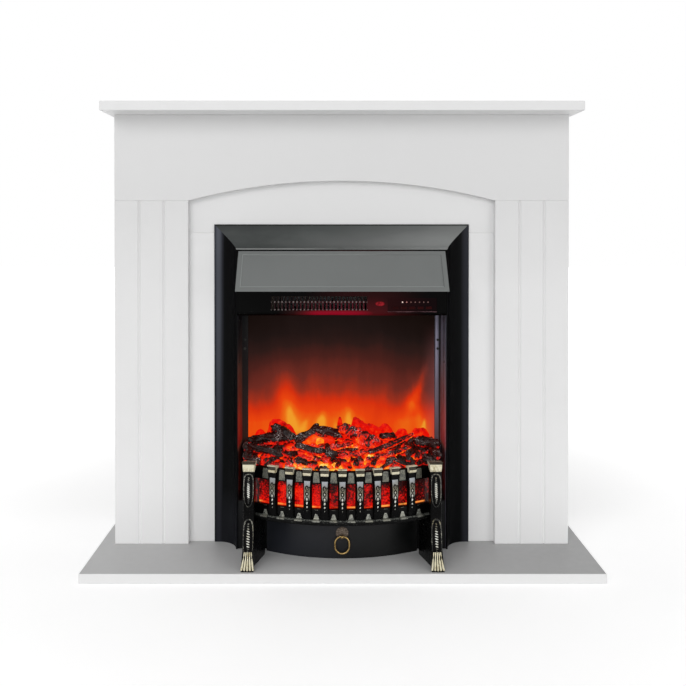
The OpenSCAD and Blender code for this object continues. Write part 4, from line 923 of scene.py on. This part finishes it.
def logs(table, first=0):
    """Charred logs: knotty, ridged along the grain, broken at the ends, red below and in their cracks."""
    b = Build()
    for seed, (x, y, z, length, r, turn, tilt, glow) in enumerate(table, first):
        b.at = shifted(x, y, LOG_SHELF + z) @ turned(turn, "Z") @ turned(tilt, "Y")
        rings = int(length / 1.7) + 6
        rows, heat, ash = [], [], []
        for i in range(rings + 1):
            t = i / rings
            end = min(1.0, 0.45 + 2.6 * min(t, 1 - t) ** 0.6)
            bend = 0.22 * r * sin(3.1 * t + seed * 1.7)
            thick = 0.86 + 0.24 * ripple(t * 2.3 + seed * 5.1, 2.2, 0)
            row = []
            for a in circle(34):
                d = Vector((0, cos(a), sin(a)))
                along = (t - 0.5) * length
                p = Vector((along / 19, d.y * 0.9, d.z * 0.9)) + Vector((seed * 7.7, 0, 0))
                ridge = abs(ripple(along / 26 + seed * 3, a * 1.5, 0.3))
                crack = abs(ripple(along / 7 + seed, a * 0.8, seed))
                k = 0.82 + 0.34 * noise.noise(p * 1.1) + 0.34 * ridge - 0.16 * step(crack, 0.1, 0.0)
                k = max(0.4, min(1.12, k)) * end * thick
                torn = noise.noise(d * 1.6 + Vector((seed * 3.3, round(t), 0)))
                along += 0.9 * r * torn * abs(2 * t - 1) ** 3
                row.append((along, d.y * r * k, d.z * r * k + bend))
                warmth = glow + (0.24 if glow > 0.45 else 0.45) * step(d.z, 0.1, -0.8)
                warmth += 0.30 * step(crack, 0.12, 0.0) * (0.3 + 2 * glow) + 0.22 * noise.noise(p * 2.3)
                heat.append(warmth + (0.12 if glow > 0.3 and t > 0.9 else 0))
                # More pale ash and painted glint on the logs' upper sides.
                ash.append(0.75 + 0.5 * step(d.z, -0.3, 0.6))
            rows.append(row)
        b.closed_loft(rows, heat=heat, ash=ash)
    return b


# Humps of clear red resin along the bed's rear edge: x, height
RIDGE = [
    (-178, 214), (-176, 226), (-172, 232), (-166, 236), (-158, 234), (-153, 229), (-149, 236), (-146, 250),
    (-140, 257), (-128, 258), (-118, 253), (-106, 247), (-98, 238), (-91, 224), (-80, 216), (-16, 216),
    (-10, 226), (-8, 250), (-4, 262), (0, 258), (4, 240), (12, 234), (19, 244), (25, 260), (34, 258),
    (44, 253), (51, 248), (62, 247), (70, 243), (75, 241), (80, 245), (88, 248), (96, 245), (102, 237),
    (108, 228), (113, 234), (121, 239), (131, 236), (138, 226), (144, 234), (150, 239), (161, 240),
    (172, 237), (178, 228), (182, 214)]


def ridge():
    """The humps as one long loft."""
    b = Build()
    rows, steps, foot = [], 360, 212
    for k in range(steps + 1):
        x = lerp(RIDGE[0][0], RIDGE[-1][0], k / steps)
        z = curve(RIDGE, x) + 1.8 * ripple(x / 5, 0.5, 0) + 1.1 * ripple(x / 2, 7.5, 0)
        y = bed_hi[1] - 4.8 + 2.0 * ripple(x / 7, 3.5, 0)
        rows.append([(x, y - 1.4, foot), (x, y - 1.6, z - 5), (x, y - 0.9, z - 1), (x, y, z),
                     (x, y + 0.9, z - 1), (x, y + 1.4, z - 5), (x, y + 1.4, foot)])
    b.closed_loft(rows)
    return b


COAL = glowing("ember_coal", ("0e0605", "1f100d", "3a2620"))
BARK = glowing("charred_log", ("080303", "1a0b09", "331b17"), "e6dcd8", 300)
fuel_bed().piece("coal_bed", [COAL], "ember_resin", 60, replaces=["fuel_bed"])
coals().piece("loose_coals", [COAL], "ember_resin", 50)
logs(LOGS).piece("charred_logs", [BARK], "log_resin", 60, replaces=["logs"])
logs(TWIGS, 20).piece("charred_twigs", [BARK], "ember_resin", 60)
ridge().piece("ember_ridge", [ridge_resin()], "ember_resin", 60)

# ---- fret: rails, bars, caps ----

f_lo, f_hi = corners("fret_front")
R_RAIL = 323.0
X_COLUMN = f_hi[0]
BARS, PITCH = 9, 32.2
Z_LIP, Z_TOP = f_lo[2], f_hi[2]
Z_WEB, Z_UPPER = Z_LIP + 27.5, Z_TOP - 23.6
Z_FOOT, Z_BAR = Z_LIP + 8.6, Z_TOP - 7
# A post is twice HALF wide. Y_COL is 22 behind the front of its foot
HALF = 10.5
X_POST = X_COLUMN + HALF
c_lo, c_hi = corners("fret_columns")
Z0, Z_COL = c_lo[2], c_hi[2]
Y_COL = c_lo[1] + 22


def bow(section, steps=72):
    """Rows of a section of (radius, z) points carried round the bow from post to post."""
    rows = []
    for i in range(steps + 1):
        u = 2 * i / steps - 1
        row = []
        for r, z in section:
            a = asin(X_COLUMN / r) * u
            row.append((r * sin(a), Y_ARC - r * cos(a), z))
        rows.append(row)
    return rows


def rail(z0, z1):
    """A rail's section with its front edges eased by e."""
    r0, r1, e = 315, R_RAIL, 1.2
    return [(r0, z0), (r1 - e, z0), (r1 - 0.3 * e, z0 + 0.3 * e), (r1, z0 + e), (r1, z1 - e),
            (r1 - 0.3 * e, z1 - 0.3 * e), (r1 - e, z1), (r0, z1)]


def bar_place(i):
    """The place of bar i on the bow, or of the gap before it for i less a half."""
    a = asin((i - (BARS - 1) / 2) * PITCH / R_RAIL)
    return shifted(0, Y_ARC, 0) @ Matrix.Rotation(a, 4, "Z") @ shifted(0, -R_RAIL, 0)


def bar_face(z):
    """How far a bar's face stands out at height z, and its half width there."""
    out = 4 + 3 * sin(pi * min(1.0, max(0.0, (z - Z_FOOT) / (Z_BAR - Z_FOOT))))
    return out, 8.2 - 2.0 * (out + 0.4) / 7.4


def fret():
    """The rails, the lip, and the bars with a rubbed band down each."""
    b = Build()
    b.closed_loft(bow(rail(Z_UPPER, Z_TOP)))
    b.closed_loft(bow(rail(Z_LIP, Z_WEB)))
    lip = [(319, 0), (330.6, 0), (331.7, 1), (332, 3), (331.4, 5.6), (330, 7.8), (328, 9), (319, 9)]
    b.closed_loft(bow([(r, Z_LIP + z) for r, z in lip], 144), lambda i, j: 2 if 1 <= j <= 6 else 0)
    band_lo, band_hi = 138.6, 177.8
    taper = [(band_lo, 0.16), (140.5, 0.42), (143, 0.8), (146, 0.96), (150, 1), (band_hi, 1)]
    for i in range(BARS):
        b.at = bar_place(i)
        rows, band = [], []
        for k in range(25):
            z = lerp(Z_FOOT, Z_BAR, k / 24)
            out, w = bar_face(z)
            rows.append(mirrored([(-8.5, 0.4, z), (-w - 0.4, 0.8 - out, z), (-w, -out, z), (0.7 - w, -out, z),
                                  (1.1 - w, 0.45 - out, z), (0, 0.2 - out, z)]))
        b.closed_loft(rows)
        for k in range(29):
            z = lerp(band_lo, band_hi, k / 28)
            out, w = bar_face(z)
            w = (w - 1.05) * curve(taper, z)
            band.append(mirrored([(-w, 0.6 - out, z), (0.1 - w, 0.12 - out, z), (0, -out - 0.08, z)]))
        b.closed_loft(band, 1)
    return b


def fret_patches():
    """The rubbed plates between the bars. The lower ones flare out over the rail's lip. A thin strip in each
    gap along the lower rail's top edge is a painted highlight.
    """
    b = Build()
    taper = [(0, 6.6), (0.8, 5.5), (0.95, 5.1), (1, 4.4)]
    upper = [(lerp(0.1, -0.4, abs(2 * t - 1) ** 8), lerp(Z_UPPER + 2.6, Z_TOP - 1.8, t), curve(taper, t))
             for t in (k / 10 for k in range(11))]
    lower = [(-0.3, 18.8, 2.3), (0.1, 18, 2.7), (0.1, 14, 4.1), (0.2, 11, 5.0), (0.8, 9.6, 5.6),
             (4.8, 9.3, 6.4), (6.8, 8.2, 7.0), (8.1, 6.4, 7.8)]
    lower = [(out, Z_LIP + z, w) for out, z, w in lower]
    # Thin strips along the lower rail's top edge in each gap: a painted highlight.
    edge_highlight_strips = [(-0.4, Z_WEB - 1.5, 3.4), (-0.2, Z_WEB - 0.9, 3.8)]
    for g in range(BARS + 1):
        b.at = bar_place(g - 0.5)
        for points in (upper, lower, edge_highlight_strips):
            b.closed_loft([mirrored([(-w, 0.3 - out, z - 0.3), (0.4 - w, -out - 0.5, z), (0, -out - 0.62, z)])
                           for out, z, w in points])
    return b


def fret_links():
    """A scroll, two ringed links and a fading row of beads down each bar."""
    b = Build()
    turns = 26
    hook = []
    for k in range(turns + 1):
        t, a = k / turns, radians(-70 + 17 * k)
        hook.append((lerp(0.9, 4.0, t) * cos(a), 0, lerp(2.0, 5.6, t) * sin(a) + 0.2))
    wire = [lerp(0.7, 1.15, sin(pi * k / turns)) for k in range(turns + 1)]
    for i in range(BARS):
        def sit(z):
            b.at = bar_place(i) @ shifted(0, -bar_face(z)[0] + 0.1, z)
        sit(165.2)
        b.tube(hook, wire, 0, 6, flat=0.7, up=FRONT)
        b.blob(hook[-1], (1.5, 0.9, 1.3), 0, 8)
        for z, w, h, r in ((154.5, 2.5, 3.4, 1.15), (144.7, 2.9, 4.0, 1.5)):
            sit(z)
            oval = [(w * cos(a) * (1 - 0.22 * abs(sin(a)) ** 3), 0, h * sin(a) * 1.06)
                    for a in circle(18)]
            b.tube(oval, 0.95, 0, 6, True, flat=0.8, up=FRONT)
            b.blob((0, -0.1, 0), (r, 0.9, r * 1.35), 1)
        for z, r, mat in ((137.0, 1.7, 1), (129.7, 1.35, 1), (122.9, 1.0, 2)):
            sit(z)
            b.blob((0, 0.2, 0), (r, 0.9, r * 1.5), mat, turn=turned(14, "Y").to_3x3())
    return b


def caps():
    """The brass caps of the bars, and the finials that crown the posts."""
    b = Build()
    # y, height over Z_BAR, share of the width
    outline = [(-8.2, 0.4, 0.84), (-9.0, 1.6, 0.86), (-9.4, 4.8, 0.88), (-9.0, 5.4, 0.89), (-7.4, 6.2, 0.9),
               (-7.2, 9.0, 0.93), (-8.2, 11.4, 0.97), (-10.3, 12.2, 1.0), (-10.4, 13.2, 1.0),
               (-9.4, 13.6, 1.0), (-3, 13.5, 1.0), (0, 13.0, 0.98), (6.8, 10.7, 0.9), (6.8, 7.2, 0.9),
               (-0.2, 7.2, 0.9), (-0.2, 0.4, 0.84)]
    rows = [[(s * 8.3 * k, y, Z_BAR + z) for y, z, k in outline] for s in (-1, -0.94, -0.5, 0, 0.5, 0.94, 1)]
    for i in range(BARS):
        b.at = bar_place(i)
        # Cream is the brass; the olive faces are painted shade in the neck under each cap's lip and on a strip
        # of its top.
        b.closed_loft(rows, lambda i, j: 0 if j <= 2 or 7 <= j <= 9 else 1 if j <= 10 else 2)
    z0, z1 = Z_COL, corners("fret_caps")[1][2]
    for s in (-1, 1):
        rows = []
        for k in range(33):
            u = k / 16 - 1
            arch = abs(cos(1.5 * pi * (u + 1))) ** 1.4 * (1 if abs(u) < 0.96 else 0.5)
            low = z0 + 0.2 + 5.4 * arch
            x, wide = 10.6 * u, 13.0 * u - 0.4 * s
            section = [(x, -2.6, low), (x, -3.8, low + 1.0), (x * 1.03, -4.8, z0 + 12),
                       (x * 1.06, -4.4, z0 + 14.6), (x * 1.08, -4.9, z0 + 15.4), (wide, -7.4, z0 + 18.6),
                       (wide, -7.9, z1 - 0.9), (wide, -7.3, z1 - 0.2), (wide, 13, z1 - 3.6),
                       (wide, 23, z1 - 5.4), (wide, 25, z1 - 7), (x, 27, z0 + 0.4), (x, -1, z0 + 0.4)]
            rows.append([(x, Y_COL + y, z) for x, y, z in section])
        b.at = shifted(s * X_POST, 0, 0)
        # The olive faces over the flare, the lip and the front of the top are the brass in painted shade.
        b.closed_loft(rows, lambda i, j: 1 if 3 <= j <= 7 else 0)
    return b


BAND = patina("band_patina", "0.138 a3a19a, 0.148 86847a, 0.158 6a6454, 0.168 6f6a5c, 0.178 9a9ea3", "25251f",
              1.0, "6b6654")
LINK = painted("link_black", ("030303", "090909"), (0.5, 0.65), 500, 0.2, 0.05, 90)
fret().piece("fret_casting", [IRON, BAND, lip_iron()], "black_iron", 30, "fret", ["fret_front"])
fret_patches().piece("fret_plates", [SILVER], "black_iron", 40, "fret")
fret_links().piece("fret_links", [LINK, BRIGHT, SILVER], "black_iron", 60, "fret")
caps().piece("fret_finials", [CREAM, OLIVE, IRON], "pale_brass", 35, "fret", ["fret_caps"])

# ---- columns, their cartouches and claw feet ----

# A post's front: share of its height, how far it stands out in front of Y_COL
PROFILE = [(0, 22), (0.21, 20), (0.36, 13.2), (0.52, 5.9), (0.7, 8.8), (0.84, 7), (1, 0.6)]
ROUND = 3.5


def column_front(z):
    """The y of a column's face at height z."""
    return Y_COL - curve(PROFILE, min(1.0, max(0.0, (z - Z0) / (Z_COL - Z0))))


def columns():
    """The posts with rounded front edges, and the block behind each."""
    b = Build()
    for s in (-1, 1):
        rows, steps = [], 48
        for k in range(steps + 1):
            z = lerp(Z0, Z_COL, k / steps)
            y = column_front(z)
            half = [(-HALF, Y_COL + 30, z), (-HALF, y + ROUND, z)]
            half += [(-HALF + ROUND * (1 - cos(a)), y + ROUND * (1 - sin(a)), z)
                     for a in (radians(d) for d in (25, 45, 65, 90))]
            half.append((0, y - 0.35 if 1 < k < steps - 1 else y, z))
            rows.append([(x, max(y, c_lo[1]), z) for x, y, z in mirrored(half)])
        b.at = shifted(s * X_POST, 0, 0)
        b.closed_loft(rows)
        b.at = Matrix()
        block = [(21, 30), (0, -8), (-15.5, 51), (-15.5, 58), (21, 58)]
        b.closed_loft([[(s * (X_COLUMN + x), Y_COL + y, z) for x, y in block]
                       for z in (Z0, Z_LIP - 1.2, Z_LIP - 0.2)])
    return b


def power(value, exponent):
    """A power that keeps its value's sign."""
    return copysign(abs(value) ** exponent, value)


def cartouches():
    """Pointed ovals and a beaded spine on each column, above and below its waist."""
    b = Build()
    fatness = [(-1, 0.5), (0, 0.6), (0.6, 0.95), (0.85, 1.35), (1, 1.3)]
    beads = 13
    for s in (-1, 1):
        def on(x, z, lift=0.2):
            inward = max(0.0, abs(x) - (HALF - ROUND)) / ROUND
            bulge = ROUND * (1 - sqrt(max(0.0, 1 - inward ** 2)))
            return s * X_POST + x, max(column_front(z) + bulge - lift, c_lo[1] + 0.2), z
        for za, zb, w, top, foot, lean in ((128, 187, 8.7, 4, 2.2, 38), (36, 104, 8.9, 3, 2.6, 22)):
            mid, half = (za + zb) / 2, (zb - za) / 2
            path, fat = [], []
            for a in circle(56):
                n = top if sin(a) > 0 else foot
                v = power(sin(a), 2 / n)
                path.append((w * power(cos(a), 2 / n), mid + half * v))
                fat.append(curve(fatness, v))
            b.tube([on(x, z) for x, z in path], fat, 0, 6, True, up=FRONT)
            b.tube([on(x * 0.68, mid + (z - mid) * 0.86) for x, z in path], 0.55, 1, 6, True, up=FRONT)
            for k in range(beads):
                t = (k + 0.5) / beads
                size = sin(pi * (0.14 + 0.72 * t))
                spot = on(0, lerp(za + half * 0.2, zb - half * 0.16, t), 0.1)
                b.blob(spot, (3.5 * size, 1.2, 1.45), 2 if 3 <= k <= 9 else 0, turn=turned(lean, "Y").to_3x3())
    return b


def feet():
    """Claw feet: five toes that fan out from the ankle, on a dark pad."""
    b = Build()
    heel, z0 = c_lo[1], corners("fret_feet")[0][2]
    # How far the toes come forward and how high they are, by the share of the way to the tip
    reach = [(0, 1.2), (0.3, 3.2), (0.6, 8.4), (0.85, 14.6), (1, 17.2)]
    height = [(0, 30.6), (0.3, 22), (0.6, 12.8), (0.85, 4.6), (1, 2.3)]
    pad = [(-0.3, 0), (-17, 0), (-16, 2.5), (-9, 11), (-2.5, 26), (0.4, 31.5), (-0.3, 3)]
    for s in (-1, 1):
        b.at = shifted(s * X_POST, 0, 0)
        b.closed_loft([[(x * (1 if z > 20 else 1.12), heel + y, z0 + z) for y, z in pad]
                       for x in (-10.2, 10.2)], 1)
        for u in (-1, -0.5, 0, 0.5, 1):
            path, radius = [], []
            for q in range(13):
                t = q / 12
                y = heel - curve(reach, t) + abs(u) * 1.2 * t
                path.append((u * lerp(6.2, 11.2, t ** 1.3), y, z0 + curve(height, t)))
                radius.append(lerp(1.1, 1.95, step(t, 0.0, 0.9)) * (0.75 if q == 12 else 1))
            b.tube(path, radius, 0, 10, up=SIDEWAYS)
    return b


EDGE = patina("cartouche_silver", "b5b4a6", "141412", 0.4, "8a8064")
columns().piece("fret_posts", [IRON], "black_iron", 32, "fret", ["fret_columns"])
cartouches().piece("post_cartouches", [EDGE, IRON, BRIGHT], "black_iron", 60, "fret")
feet().piece("claw_feet", [CREAM, IRON], "pale_brass", 50, "fret", ["fret_feet"])


# ---- rosette ----

def rosette():
    """A ten-petalled rosette with the post and the eye that hold the ring."""
    b = Build()
    lo, hi = corners("ring_rosette")
    r = (hi[0] - lo[0]) / 2
    zc = hi[2] - r
    face = corners("ash_pan_cover")[0][1]
    ring_lo, ring_hi = corners("pull_ring")
    y_pivot, z_pivot = (ring_lo[1] + ring_hi[1]) / 2, ring_hi[2] - 1.8
    rows = []
    for k in range(13):
        t = k / 12
        row = []
        for a in circle(80):
            valley = 1 - abs(sin(5 * a)) ** 0.6
            rad = r * (0.06 + 0.94 * t) * (1 - 0.07 * valley * t)
            dome = 3.0 * sqrt(max(0.0, 1 - (0.98 * t) ** 2.6))
            dome -= 0.8 * valley * step(t, 0.3, 0.6) * step(t, 1.0, 0.85)
            dome += 0.5 * exp(-((t - 0.36) / 0.07) ** 2)
            row.append((rad * cos(a), face - max(0.05, dome - 0.5), zc + rad * sin(a)))
        rows.append(row)
    rows.append([(0.97 * x, face, zc + 0.97 * (z - zc)) for x, _, z in rows[-1]])
    b.closed_loft(rows)
    b.tube([(0, face - 1, z_pivot + 3.2), (0, face - 2, z_pivot + 3.1), (0, y_pivot + 1.2, z_pivot + 2.9)],
           [2.0, 1.5, 1.1], 0, 12)
    eye = 2.85
    loop = [(0, y_pivot + eye * cos(a), z_pivot + eye * sin(a)) for a in circle(24)]
    b.tube(loop, 0.95, 1, 10, True, up=SIDEWAYS)
    b.blob((0, y_pivot - 3.2, z_pivot - 0.4), (2.5, 1.9, 2.7), 1, 16)
    return b


rosette().piece("rosette_relief", [BRONZE, OLD_BRASS], "old_brass", 50, "ash_pan", ["ring_rosette"])

# ---- stage, lights and camera ----

scene = bpy.context.scene
scene.view_settings.view_transform = "Standard"
world = bpy.data.worlds.new("studio")
world.use_nodes = True
scene.world = world
air = Nodes(world.node_tree)
sky = world.node_tree.nodes["Background"]
air.put(sky.inputs[0], "ffffff")
air.put(sky.inputs[1], air.node("MapRange", {0: air.seen(), 3: 0.62, 4: 1.0}))

floor_mesh = bpy.data.meshes.new("floor")
bm = bmesh.new()
bmesh.ops.create_grid(bm, x_segments=1, y_segments=1, size=12)
bm.to_mesh(floor_mesh)
bm.free()
floor = bpy.data.objects.new("floor", floor_mesh)
floor.location.z = cad_box[0][2]
scene.collection.objects.link(floor)
ground = Mat("studio_floor")
away = ground.node("VectorMath", {0: ground.obj}, out=1, operation="LENGTH")
ground.set(color=ground.shades("f4f4f4", "f7f7f7", 3), rough=0.9, spec=0.0, glow="ffffff",
           power=ground.seen() * ground.range(away, 0.5, 2.5, 0.3, 1.0))
floor_mesh.materials.append(ground.m)


def softbox(name, place, aim, size, watts):
    """A rectangular light that faces a point."""
    light = bpy.data.lights.new(name, "AREA")
    light.shape, light.size, light.size_y, light.energy = "RECTANGLE", size[0], size[1], watts
    obj = bpy.data.objects.new(name, light)
    obj.location = place
    obj.rotation_euler = (Vector(aim) - Vector(place)).to_track_quat("-Z", "Y").to_euler()
    scene.collection.objects.link(obj)


softbox("key", (-1.3, -3.2, 2.0), (0, 0, 0.45), (2.0, 1.6), 33)
softbox("fill", (2.2, -2.8, 1.0), (0, 0, 0.4), (1.8, 1.8), 14)

camera = bpy.data.cameras.new("camera")
camera.lens, camera.sensor_width = 47.035, 36
camera.shift_x, camera.shift_y = 0.0181, -0.16
eye = bpy.data.objects.new("camera", camera)
eye.location = (-0.0219, -1.7863, 0.652)
eye.rotation_euler = (radians(90 - 0.534), 0, 0)
scene.collection.objects.link(eye)
scene.camera = eye
